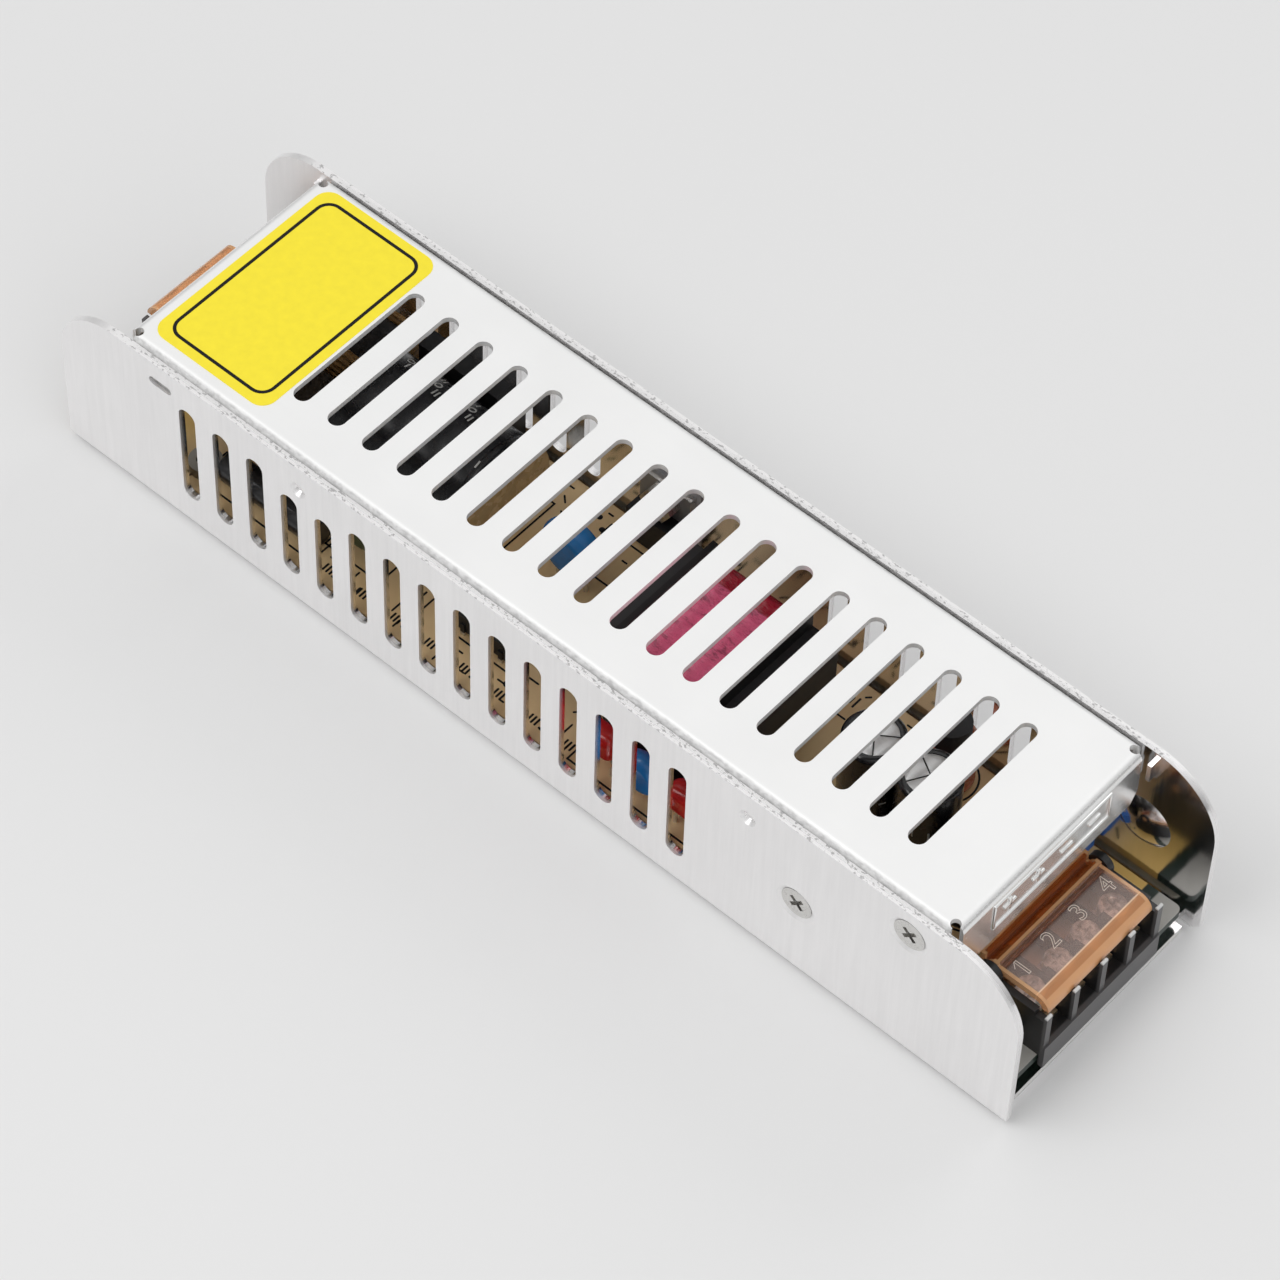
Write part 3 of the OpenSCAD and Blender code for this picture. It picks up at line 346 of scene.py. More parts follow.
def terminal_moulding(name, node):
    """Black moulding of a terminal block, with a dull grey painted sheen on its nose
    and pale painted highlights on its rib tips."""
    rough = 0.36
    finish = plain_finish(name, MOULDED_BLACK, rough)
    low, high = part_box(node)
    side = math.copysign(1.0, high.x)
    nose = side * (max(abs(low.x), abs(high.x)) - NOSE_DEPTH)
    clouds = noise(finish, scale=160.0)
    # painted sheen: the nose is painted a dull grey for the light it reflects
    wear_and_sheen = past(finish, "X", nose, blur=side * 0.3 * MM)
    body = varied(finish, clouds, MOULDED_BLACK, 0.8, 1.2)
    dull = varied(finish, clouds, NOSE_SHEEN_GREY, 0.9, 1.1)
    # painted highlight: the tops of the rib tips are painted pale as glints
    tips = combine(finish, "MULTIPLY", wear_and_sheen, past(finish, "Z", TIP_Z, blur=0.2 * MM))
    pale = varied(finish, clouds, TIP_GLINT_PALE, 0.95, 1.05)
    nose_with_sheen = blend_colours(finish, wear_and_sheen, body, dull)
    feed(finish, "Base Color", blend_colours(finish, tips, nose_with_sheen, pale))
    vary_rough(finish, clouds, rough)
    raise_bumps(finish, noise(finish, scale=2600.0, detail=2.0), strength=0.12, distance=0.06 * MM)
    return finish


def moulded_plastic(name, colour, rough):
    """Moulded plastic with a faint grain and slight shade changes."""
    finish = plain_finish(name, colour, rough)
    grain = noise(finish, scale=2600.0, detail=2.0)
    clouds = noise(finish, scale=160.0)
    vary_colour(finish, clouds, colour, 0.82, 1.22)
    vary_rough(finish, clouds, rough)
    raise_bumps(finish, grain, strength=0.12, distance=0.06 * MM)
    return finish


def bright_metal(name, colour, rough):
    """Plated metal with fine scratches."""
    finish = plain_finish(name, colour, rough, 1.0)
    scratches = noise(finish, scale=1100.0, stretch=(1.0, 7.0, 1.0), detail=4.0, rough=0.7)
    vary_colour(finish, scratches, colour, 0.94, 1.06)
    vary_rough(finish, scratches, rough, more=0.14)
    raise_bumps(finish, scratches, strength=0.08, distance=0.05 * MM)
    return finish


def plating_with_painted_glints(name):
    """Plated screw heads, dull with bright blotches that are painted glints."""
    bright_rough = 0.2
    dull_rough = 0.45
    finish = plain_finish(name, SCREW_GLINT, bright_rough, 1.0)
    blotches = noise(finish, scale=800.0, detail=2.0)
    # painted highlights: bright blotches stand in for glints off the screw heads
    feed(finish, "Base Color", ramp(finish, blotches, [(0.40, SCREW_DULL), (0.60, SCREW_GLINT)]))
    feed(finish, "Roughness", spread(finish, blotches, dull_rough, bright_rough))
    raise_bumps(finish, blotches, strength=0.5, distance=0.3 * MM)
    return finish


def metal_and_moulding(name, colour, rough, metal_share):
    """Moulding with tinned metal where metal_share, made from the finish, is 1."""
    tin_rough = 0.28
    finish = plain_finish(name, colour, rough)
    clouds = noise(finish, scale=300.0)
    share = metal_share(finish)
    body = varied(finish, clouds, colour, 0.82, 1.2)
    tin = varied(finish, clouds, TIN_GREY, 0.94, 1.05)
    feed(finish, "Base Color", blend_colours(finish, share, body, tin))
    feed(finish, "Metallic", share)
    wear_and_sheen = spread(finish, clouds, -0.06, 0.06)
    feed(finish, "Roughness", combine(finish, "ADD", spread(finish, share, rough, tin_rough), wear_and_sheen))
    raise_bumps(finish, clouds, strength=0.08, distance=0.1 * MM)
    return finish


def legs_below(rise):
    """Metal share of a part whose bare legs end at a height over the board."""
    return lambda finish: past(finish, "Z", BOARD_TOP + rise + LEG_BLUR / 2, blur=-LEG_BLUR)


def tab_and_legs(finish):
    """Metal share of a power device: the tab by the wall and the legs."""
    tab = past(finish, "Y", TAB_FACE - TAB_BLUR / 2, blur=TAB_BLUR, middle=0.0)
    return combine(finish, "MAXIMUM", tab, legs_below(DEVICE_LEGS)(finish))


AMBER_KINDS = {
    "edge": (AMBER_EDGE_GLOW, 0.46),
    "deep": (AMBER_TROUGH_SHADE, 0.72),
    "dim_sheen": (AMBER_DIM_SHEEN, 0.88),
    "plate": (AMBER_PLATE_SHEEN, 0.84),
    "line": (AMBER_LINE_HIGHLIGHT, 0.25),
    "lip": (AMBER_LIP_GLOW, 0.64),
}
AMBER_IOR = 1.49
ZONE_BLUR = 0.005
HINGE_EDGE_W = 0.3 * MM
RIDGE_W = 3.1 * MM
RIDGE_EDGE_W = 0.5 * MM
DIM_SHEEN_W = 1.2 * MM
LIP_LINE_W = 0.25 * MM
LIP_W = 1.3 * MM
FRONT_W = 2.3 * MM
PIN_L = 1.1 * MM
END_WALL_W = 0.7 * MM


def amber_cover(name, node):
    """Clear amber plastic with painted light: a painted sheen over the flat plate, dimmer next to the
    ridge, painted shade in the rear trough, a painted orange glow at the lip, ridge and ends, and a painted
    highlight line where the lip starts. Places along the case are distances from its middle."""
    finish = plain_finish(name, AMBER_EDGE_GLOW, 0.07)
    shader_of(finish).inputs["IOR"].default_value = AMBER_IOR
    low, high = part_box(node)
    side = math.copysign(1.0, high.x)
    rear, front = sorted((abs(low.x), abs(high.x)))
    plate = rear + RIDGE_W
    lip = front - FRONT_W
    # each zone's colour is painted light: glow at edges, ridge and lip, trough shade, plate sheen, a line
    zones = [
        (rear + HINGE_EDGE_W, "edge"), (plate - RIDGE_EDGE_W, "deep"), (plate, "edge"),
        (plate + DIM_SHEEN_W, "dim_sheen"), (lip - LIP_LINE_W, "plate"), (lip, "line"), (lip + LIP_W, "lip"),
        (front, "edge"),
    ]
    colours = []
    clearness = []
    last = 0.0
    for zone_end, kind in zones:
        colour, clear = AMBER_KINDS[kind]
        share = (zone_end - rear) / (front - rear)
        for stop in (last + ZONE_BLUR, share - ZONE_BLUR):
            colours.append((stop, colour))
            clearness.append((stop, (clear, clear, clear)))
        last = share
    along = place_along(finish, "X", side * rear, side * front)
    ends = (high.y - low.y) / 2 - PIN_L - END_WALL_W
    across = past(finish, "Y", ends, blur=0.2 * MM, middle=(low.y + high.y) / 2)
    waves = noise(finish, scale=240.0, detail=2.0)
    # painted glow: the ends of the cover are painted bright orange
    rim = varied(finish, waves, AMBER_EDGE_GLOW, 0.92, 1.06)
    feed(finish, "Base Color", blend_colours(finish, across, ramp(finish, along, colours), rim))
    rim_clear = spread(finish, across, 1.0, AMBER_KINDS["edge"][1])
    clear_share = combine(finish, "MINIMUM", ramp(finish, along, clearness), rim_clear)
    feed(finish, "Transmission Weight", clear_share)
    raise_bumps(finish, waves, strength=0.06, distance=0.2 * MM)
    return finish


def board_laminate():
    """Tan board with cloudy resin and paper fibres; painted light makes the dim middle lighter
    and the shaded ends a darker gold. A dark mask, partly painted shade of the output block,
    and a tinned strip lie at the output edge."""
    rough = 0.38
    finish = plain_finish("board_laminate", BOARD_TAN, rough)
    clouds = noise(finish, scale=90.0, detail=4.0)
    middle = ramp(finish, clouds, [(0.3, BOARD_DARK), (0.7, BOARD_TAN)])
    # painted shade: the ends are a darker gold, the middle a lighter tan for the dim inside of the case
    ends = varied(finish, clouds, BOARD_SHADED_END, 0.85, 1.12)
    outer = past(finish, "X", BOARD_END_START, BOARD_END_BLUR, middle=0.0)
    tan = blend_colours(finish, outer, middle, ends)
    # dark mask by the output edge, near black, partly painted shade of the output block
    mask_and_shade = varied(finish, clouds, BOARD_MASK_AND_SHADE, 0.8, 1.2)
    masked = past(finish, "X", BOARD_MASK_START, blur=0.2 * MM)
    on_top = past(finish, "Z", BOARD_TOP - 0.15 * MM, blur=0.1 * MM)
    past_mask = past(finish, "X", BOARD_STRIP_START, blur=0.3 * MM)
    tinned = combine(finish, "MULTIPLY", on_top, past_mask)
    strip = varied(finish, clouds, BOARD_STRIP, 0.9, 1.08)
    dark_end = blend_colours(finish, tinned, mask_and_shade, strip)
    feed(finish, "Base Color", blend_colours(finish, masked, tan, dark_end))
    fibres = noise(finish, scale=1500.0, stretch=(1.0, 3.0, 1.0), detail=2.0)
    vary_rough(finish, fibres, rough)
    raise_bumps(finish, fibres, strength=0.1, distance=0.08 * MM)
    return finish


def wrinkled_tape():
    """Glossy tape with creases where it is wound over the coil, painted darker in the creases and lighter
    on their crests as painted shade and highlight, dark red past the far turn.
    """
    rough = 0.2
    finish = plain_finish("wrinkled_tape", TAPE_PINK, rough)
    creases = noise(finish, scale=420.0, stretch=(0.7, 1.3, 1.0), detail=4.0, rough=0.6)
    folds = noise(finish, scale=160.0, stretch=(0.5, 1.6, 1.0), detail=2.0)
    # painted shade in the creases and painted highlights on the crests of the wrinkles
    crease_shade_and_highlight = [(0.36, shade(TAPE_PINK, 0.5)), (0.45, TAPE_PINK), (0.70, shade(TAPE_PINK, 1.15))]
    top = ramp(finish, creases, crease_shade_and_highlight)
    red = varied(finish, creases, TAPE_RED, 0.75, 1.25)
    past_turn = past(finish, "Y", COIL_Y + TAPE_TURN, blur=0.3 * MM)
    feed(finish, "Base Color", blend_colours(finish, past_turn, top, red))
    vary_rough(finish, folds, rough, less=0.06)
    raise_bumps(finish, combine(finish, "ADD", creases, folds), strength=1.0, distance=1.1 * MM)
    shader_of(finish).inputs["Coat Weight"].default_value = 0.5
    return finish


def glossy_coat(name, colour, rough=0.22):
    """Dipped resin coat with an uneven skin."""
    finish = plain_finish(name, colour, rough)
    skin = noise(finish, scale=420.0)
    vary_colour(finish, skin, colour, 0.85, 1.15)
    vary_rough(finish, skin, rough, less=0.05, more=0.08)
    raise_bumps(finish, skin, strength=0.12, distance=0.2 * MM)
    shader_of(finish).inputs["Coat Weight"].default_value = 0.4
    return finish


def wound_wire(name, colour):
    """Enamelled wire in close turns round a ring standing across the board."""
    finish = glossy_coat(name, colour, 0.25)
    turns = add_node(finish, "ShaderNodeTexWave", Scale=420.0, Distortion=0.6, bands_direction="Z")
    join_sockets(finish, object_places(finish), turns.inputs["Vector"])
    raise_bumps(finish, turns.outputs["Fac"], strength=0.5, distance=0.5 * MM)
    return finish


def sealed_sleeve():
    """Black sleeve of the large can, with the brown seal of its foot."""
    rough = 0.25
    finish = plain_finish("large_sleeve", SLEEVE_BLACK, rough)
    skin = noise(finish, scale=420.0)
    foot = past(finish, "X", SEAL_X, blur=0.1 * MM)
    sleeve = varied(finish, skin, SLEEVE_BLACK, 0.85, 1.15)
    seal = varied(finish, skin, SEAL_BROWN, 0.8, 1.15)
    feed(finish, "Base Color", blend_colours(finish, foot, sleeve, seal))
    vary_rough(finish, skin, rough, less=0.05, more=0.09)
    raise_bumps(finish, skin, strength=0.1, distance=0.2 * MM)
    return finish


def printed_ink(name, colour, gloss=0.5):
    """Printed ink with a slightly uneven cover."""
    rough = 0.5
    finish = plain_finish(name, colour, rough)
    shader_of(finish).inputs["Specular IOR Level"].default_value = gloss
    cover = noise(finish, scale=700.0)
    vary_colour(finish, cover, colour, 0.96, 1.03)
    vary_rough(finish, cover, rough, more=0.08)
    return finish


FINISHES = {
    "case_metal": brushed_channel(),
    "cover_metal": satin_cover(),
    "steel": bright_metal("plated_steel", SCREW_STEEL, 0.26),
    "board": board_laminate(),
    "film": moulded_plastic("ivory_film", FILM_IVORY, 0.4),
    "block_plastic": terminal_moulding("black_output_block", "output_terminal_block"),
    "amber_plastic": amber_cover("amber_output", "output_terminal_cover"),
    "brass": bright_metal("tinned_brass", CONTACT_BRASS, 0.28),
    "pad": moulded_plastic("grey_silicone", PAD_GREY, 0.6),
    "device_plastic": metal_and_moulding("black_epoxy", MOULDED_BLACK, 0.5, legs_below(CHIP_LEGS)),
    "can_sleeve": glossy_coat("black_sleeve", SLEEVE_BLACK, 0.25),
    "ferrite": moulded_plastic("dark_ferrite", FERRITE_GREY, 0.55),
    "bobbin_plastic": moulded_plastic("bobbin_moulding", MOULDED_BLACK, 0.45),
    "pink_tape": wrinkled_tape(),
    "copper_wire": wound_wire("enamelled_wire", WIRE_COPPER),
    "yellow_box": moulded_plastic("yellow_case", BOX_YELLOW, 0.35),
    "fuse_body": glossy_coat("shrink_sleeve", SLEEVE_BLACK, 0.35),
    "olive_coating": metal_and_moulding("olive_dip", DISC_OLIVE, 0.45, legs_below(DISC_LEGS)),
    "blue_coating": metal_and_moulding("blue_dip", DISC_BLUE, 0.24, legs_below(DISC_LEGS)),
    "red_coating": glossy_coat("red_dip", DIPPED_RED),
    "trimmer_blue": moulded_plastic("trimmer_case", TRIMMER_BLUE, 0.35),
    "rotor_white": moulded_plastic("rotor_moulding", ROTOR_WHITE, 0.4),
    "lamp_green": glossy_coat("lamp_lens", LAMP_GREEN, 0.15),
}

OWN_FINISHES = {
    "bulk_capacitor": sealed_sleeve(),
    "board_screws": bright_metal("board_screw_plating", BOARD_SCREW, 0.42),
    "line_choke_winding": wound_wire("line_choke_wire", WIRE_GOLD),
    "filter_capacitor": moulded_plastic("filter_case", BOX_BROWN, 0.35),
    "input_terminal_block": terminal_moulding("black_input_block", "input_terminal_block"),
    "output_terminal_screws": plating_with_painted_glints("terminal_screw_plating"),
    "input_terminal_cover": amber_cover("amber_input", "input_terminal_cover"),
    "output_rectifier": metal_and_moulding("rectifier_epoxy", MOULDED_BLACK, 0.5, tab_and_legs),
    "bridge_rectifier": metal_and_moulding("bridge_epoxy", MOULDED_BLACK, 0.45, legs_below(BRIDGE_LEGS)),
}
OWN_FINISHES["switching_transistor"] = OWN_FINISHES["output_rectifier"]


def dress_nodes():
    """Gives each solid of the frame its own finish or that of its slot."""
    for part in frame["record"]["subparts"]:
        piece = frame["nodes"][part["node"]]
        piece.data.materials.clear()
        piece.data.materials.append(OWN_FINISHES.get(part["node"], FINISHES[part["material_slot"]]))


# Modelling helpers

EDGE_SMOOTH = math.radians(35)
ROUND_SMOOTH = math.radians(50)


def deselect():
    if bpy.context.mode != "OBJECT":
        bpy.ops.object.mode_set(mode="OBJECT")
    bpy.ops.object.select_all(action="DESELECT")


def pick(piece):
    deselect()
    piece.select_set(True)
    bpy.context.view_layer.objects.active = piece


def apply_place(piece):
    pick(piece)
    bpy.ops.object.transform_apply(location=True, rotation=True, scale=True)


def start_block(size, place, turn=(0.0, 0.0, 0.0)):
    """Block of a given size, centred on a place and turned about it."""
    deselect()
    bpy.ops.mesh.primitive_cube_add(size=1.0, location=place, rotation=turn)
    piece = bpy.context.object
    piece.scale = size
    apply_place(piece)
    return piece


def start_drum(radius, height, place, sides=48):
    """Upright drum, centred on a place."""
    deselect()
    bpy.ops.mesh.primitive_cylinder_add(vertices=sides, radius=radius, depth=height, location=place)
    piece = bpy.context.object
    apply_place(piece)
    return piece


def choose(piece, mode, wanted):
    """Selects the faces or edges of a piece for which wanted is true, and goes to edit mode."""
    pick(piece)
    bpy.ops.object.mode_set(mode="EDIT")
    bpy.ops.mesh.select_mode(type=mode)
    bpy.ops.mesh.select_all(action="DESELECT")
    bpy.ops.object.mode_set(mode="OBJECT")
    mesh = piece.data
    for item in mesh.polygons if mode == "FACE" else mesh.edges:
        item.select = wanted(mesh, item)
    bpy.ops.object.mode_set(mode="EDIT")


def upright(mesh, edge):
    run = mesh.vertices[edge.vertices[0]].co - mesh.vertices[edge.vertices[1]].co
    return run.length > 0 and abs(run.z) / run.length > 0.99


def level(mesh, face):
    return abs(face.normal.z) > 0.9


def bevel_uprights(piece, width, segments=8):
    """Rounds the edges that run along Z."""
    choose(piece, "EDGE", upright)
    bpy.ops.mesh.bevel(offset=width, segments=segments, affect="EDGES")
    bpy.ops.object.mode_set(mode="OBJECT")


def soften(piece, width, segments=3):
    """Rounds every sharp edge of a piece."""
    pick(piece)
    bevel = piece.modifiers.new("soft_edges", "BEVEL")
    bevel.width = width
    bevel.segments = segments
    bevel.limit_method = "ANGLE"
    bpy.ops.object.modifier_apply(modifier=bevel.name)
    bpy.ops.object.shade_smooth_by_angle(angle=EDGE_SMOOTH)


def cut_middle(piece, width):
    """Leaves only a rim of the given width from a flat plate."""
    choose(piece, "FACE", level)
    bpy.ops.mesh.inset(thickness=width, depth=0.0, use_individual=True)
    bpy.ops.mesh.bridge_edge_loops()
    bpy.ops.object.mode_set(mode="OBJECT")


def join_pieces(name, pieces):
    deselect()
    for piece in pieces:
        piece.select_set(True)
    bpy.context.view_layer.objects.active = pieces[0]
    bpy.ops.object.join()
    joined = bpy.context.object
    joined.name = name
    apply_place(joined)
    return joined


def own_copy(piece, place, turn=0.0, size=EVEN):
    """Copy with its own mesh, placed, turned about Z and sized, to be joined later."""
    copy = piece.copy()
    copy.data = piece.data.copy()
    bpy.context.collection.objects.link(copy)
    copy.location = place
    copy.rotation_euler = (0.0, 0.0, turn)
    copy.scale = size
    return copy


def drop(piece):
    pick(piece)
    bpy.ops.object.delete()


def settle(piece, body, finish):
    """Dresses a new piece and lets it ride on its body."""
    piece.data.materials.clear()
    piece.data.materials.append(finish)
    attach(piece, body)


# Sticker on the cover

STICKER_LOW = (2.5 * MM - COVER_HIGH.x, 2.9 * MM - COVER_HIGH.y)
STICKER_SIZE = (23.5 * MM, 38.7 * MM)
STICKER_T = 0.08 * MM
STICKER_CORNER = 2.6 * MM
BORDER_INSET = 1.6 * MM
BORDER_W = 0.56 * MM
BORDER_T = 0.03 * MM


def sticker_plate(inset, low, thick):
    """Flat plate with round corners, set in from the sticker's edge."""
    length, width = [side - 2 * inset for side in STICKER_SIZE]
    x, y = [corner + side / 2 for corner, side in zip(STICKER_LOW, STICKER_SIZE)]
    plate = start_block((length, width, thick), (x, y, low + thick / 2))
    bevel_uprights(plate, STICKER_CORNER)
    return plate


def make_sticker():
    """Bare yellow sticker with a thin black line round its edge."""
    sticker = sticker_plate(0.0, COVER_HIGH.z, STICKER_T)
    sticker.name = "yellow_sticker"
    settle(sticker, "case", printed_ink("sticker_yellow", STICKER_YELLOW))
    line = sticker_plate(BORDER_INSET, COVER_HIGH.z + STICKER_T, BORDER_T)
    line.name = "sticker_line"
    cut_middle(line, BORDER_W)
    settle(line, "case", printed_ink("sticker_ink", INK_BLACK, INK_GLOSS))


# Numerals on the output cover

NUMERAL_SIZE = 4.1 * MM
NUMERAL_LINE = 0.055 * MM
NUMERAL_X = 84.7 * MM
PLATE_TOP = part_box("output_terminal_cover")[1].z - 0.8 * MM
FLAG_L = 1.15 * MM
FLAG_X = NUMERAL_X - 1.15 * MM
FLAG_Y = -0.62 * MM
FLAG_TURN = math.radians(-40)
OUTPUT_POLES = 4


def pole_y(index):
    return (index - (OUTPUT_POLES - 1) / 2) * POLE_PITCH


def make_numerals():
    """Numerals over the four output terminals, drawn by a raised line round each, painted pale as a
    highlight.
    """
    made = []
    for index in range(OUTPUT_POLES):
        deselect()
        bpy.ops.object.text_add()
        text = bpy.context.object
        text.data.body = str(index + 1)
        text.data.align_x = "CENTER"
        text.data.align_y = "CENTER"
        text.data.size = NUMERAL_SIZE
        text.data.fill_mode = "NONE"
        text.data.bevel_depth = NUMERAL_LINE
        text.data.bevel_resolution = 1
        bpy.ops.object.convert(target="MESH")
        text.location = (NUMERAL_X, pole_y(index), PLATE_TOP)
        text.rotation_euler = (0.0, 0.0, math.radians(90))
        apply_place(text)
        made.append(text)
    flag_size = (FLAG_L, 2 * NUMERAL_LINE, 2 * NUMERAL_LINE)
    flag = start_block(flag_size, (FLAG_X, pole_y(0) + FLAG_Y, PLATE_TOP), (0.0, 0.0, FLAG_TURN))
    soften(flag, NUMERAL_LINE / 2, 2)
    made.append(flag)
    numerals = join_pieces("raised_numerals", made)
    # painted highlight: the raised lines are painted pale for the light they catch
    finish = plain_finish("numeral_line", NUMERAL_HIGHLIGHT, 0.3)
    waves = noise(finish, scale=500.0, detail=2.0)
    vary_colour(finish, waves, NUMERAL_HIGHLIGHT, 0.85, 1.05)
    settle(numerals, "output_cover", finish)


# Embossed marks on the output end flange

MARK_FRAME_W = 26.0 * MM
MARK_FRAME_H = 5.4 * MM
MARK_FRAME_Z = COVER_HIGH.z - 4.9 * MM
MARK_LINE = 0.6 * MM
MARK_PROUD = 0.3 * MM
MARK_L = 2.8 * MM
MARK_BAR = 0.8 * MM
MARK_ROUND = 0.24 * MM


def flange_bar(y, z, width, height):
    bar = start_block((2 * MARK_PROUD, width, height), (FLANGE_X, y, MARK_FRAME_Z + z))
    soften(bar, MARK_ROUND)
    return bar


def make_polarity_marks():
    """Embossed frame with two plus and two minus marks."""
    bars = []
    for side in (-1, 1):
        bars.append(flange_bar(0.0, side * MARK_FRAME_H / 2, MARK_FRAME_W + MARK_LINE, MARK_LINE))
        bars.append(flange_bar(side * MARK_FRAME_W / 2, 0.0, MARK_LINE, MARK_FRAME_H))
    for index in range(OUTPUT_POLES):
        bars.append(flange_bar(pole_y(index), 0.0, MARK_L, MARK_BAR))
        if index < OUTPUT_POLES / 2:
            bars.append(flange_bar(pole_y(index), 0.0, MARK_BAR, MARK_L))
    marks = join_pieces("polarity_marks", bars)
    settle(marks, "case", FINISHES["cover_metal"])


# Scored tops of the capacitor cans

CAN_TOPS = [
    (46.5 * MM, 2.5 * MM, 24.9 * MM),
    (57.0 * MM, 2.5 * MM, 24.9 * MM),
    (67.5 * MM, 0.5 * MM, 19.9 * MM),
]
CAN_TOP_R = 3.75 * MM
CAN_TOP_T = 0.2 * MM
CAN_TOP_ROUND = 0.06 * MM
SCORE_HALF = 0.11 * MM
SCORE_TURN = 35
SCORE_TURN_STEP = 25


def quarter_top():
    """Quarter of a can's bright top, set back from the two score lines."""
    quarter = start_drum(CAN_TOP_R, CAN_TOP_T, (0.0, 0.0, CAN_TOP_T / 2), 64)
    for place, normal in (((SCORE_HALF, 0, 0), (-1, 0, 0)), ((0, SCORE_HALF, 0), (0, -1, 0))):
        pick(quarter)
        bpy.ops.object.mode_set(mode="EDIT")
        bpy.ops.mesh.select_all(action="SELECT")
        bpy.ops.mesh.bisect(plane_co=place, plane_no=normal, use_fill=True, clear_outer=True)
        bpy.ops.object.mode_set(mode="OBJECT")
    soften(quarter, CAN_TOP_ROUND, 2)
    return quarter


def make_can_tops():
    """Bright tops with a scored cross on the three output cans."""
    quarter = quarter_top()
    made = []
    for number, place in enumerate(CAN_TOPS):
        for step in range(4):
            turn = math.radians(SCORE_TURN + SCORE_TURN_STEP * number + 90 * step)
            made.append(own_copy(quarter, place, turn))
    drop(quarter)
    tops = join_pieces("scored_can_tops", made)
    settle(tops, "case", bright_metal("can_silver", CAN_SILVER, 0.34))


# Print on the board: holes, bars, marks and rows are listed in millimetres

PRINT_T = 0.04 * MM
PRINT_LINE = 0.32 * MM
PRINT_MARGIN = 0.8 * MM
PRINT_HALF_W = 20.0 * MM
FRAMED_NODES = [
    "bulk_capacitor", "filter_capacitor", "input_fuse", "bridge_rectifier", "inrush_thermistor",
    "coupling_capacitor", "transformer_bobbin", "optocoupler", "control_chip", "output_rectifier",
    "switching_transistor", "film_capacitors", "line_choke_core",
]
CAN_RING_R = 5.6 * MM
OTHER_RINGS = [(51.0 * MM, 15.6 * MM, 5.0 * MM), (74.0 * MM, -10.0 * MM, 2.6 * MM)]
HOLE_SPOTS = [
    (23.3, 16.1), (25.0, 18.2), (30.3, 10.6), (37.3, 18.6), (36.0, 17.0), (44.3, 17.2), (45.6, 18.6),
    (-19.5, 17.4), (-17.6, 15.8), (-12.8, 18.4), (62.0, 16.5), (64.4, 14.0), (2.2, 18.7), (-4.6, 18.3),
]
HOLE_R = 0.5 * MM
BAR_GROUPS = [(29.0, 16.9, 5), (36.2, 13.0, 3), (-20.6, 12.6, 4), (43.0, 12.6, 3)]
BAR_SIZE = (0.35 * MM, 2.2 * MM)
BAR_STEP = 0.85 * MM
SHORT_BAR = 0.65
NEAR_PRINT_START = -49.6 * MM
NEAR_PRINT_STEP = 7.0 * MM
NEAR_PRINT_COUNT = 13
NEAR_PRINT_Y = -18.0 * MM
NEAR_MARKS = [
    (-1.4, 0.1, 0), (-0.7, 0.1, 0), (0.0, 0.1, 0), (1.5, 0.4, 90), (1.5, -0.5, 90), (-0.7, 6.2, 0),
]
NEAR_BAR = 0.7
NEAR_RING_R = 0.65 * MM
NEAR_RING_Y = NEAR_PRINT_Y + 2.3 * MM
STROKE_ROWS = [(-18.6, 0.0), (-16.0, 2.2), (-12.6, 1.1), (13.4, 0.6), (16.4, 2.9), (18.9, 1.6)]
STROKE_STEP = 4.3 * MM
STROKE_COUNT = 36
STROKE_START = -76.0 * MM
STROKE_SHORTEST = 1.1
STROKE_GROWTH = 0.55


def on_board(x, y):
    """Place of print on the board."""
    return x, y, BOARD_TOP + PRINT_T / 2


def print_frame(low_x, low_y, high_x, high_y):
    """Printed outline of a rectangle on the board."""
    size = (high_x - low_x, high_y - low_y, PRINT_T)
    frame_line = start_block(size, on_board((low_x + high_x) / 2, (low_y + high_y) / 2))
    cut_middle(frame_line, PRINT_LINE)
    return frame_line


def print_ring(x, y, radius):
    """Printed ring on the board."""
    ring = start_drum(radius, PRINT_T, on_board(x, y), 40)
    cut_middle(ring, PRINT_LINE)
    return ring


def board_boxes():
    """Boxes of the parts that stand on the board."""
    boxes = [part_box(part["node"]) for part in frame["record"]["subparts"]]
    return [(low, high) for low, high in boxes if abs(low.z - BOARD_TOP) < 1.0 * MM]


def is_free(boxes, x, y, reach):
    """True where no box comes within reach of a place."""
    for low, high in boxes:
        if low.x - reach < x < high.x + reach and low.y - reach < y < high.y + reach:
            return False
    return True


def print_strokes():
    """Short printed strokes in rows along the board's free strips."""
    boxes = board_boxes()
    stroke = start_block((1.0 * MM, PRINT_LINE, PRINT_T), (0.0, 0.0, 0.0))
    bevel_uprights(stroke, PRINT_LINE / 3, 2)
    made = []
    for row, (y, shift) in enumerate(STROKE_ROWS):
        for step in range(STROKE_COUNT):
            x = STROKE_START + step * STROKE_STEP + shift * MM
            length = STROKE_SHORTEST + (step * 7 + row * 5) % 4 * STROKE_GROWTH
            turn = math.radians(90 * ((step * 3 + row) % 2) + 45 * ((step + row) % 5 == 0))
            if is_free(boxes, x, y * MM, length * MM / 2):
                made.append(own_copy(stroke, on_board(x, y * MM), turn, (length, 1.0, 1.0)))
    drop(stroke)
    return made


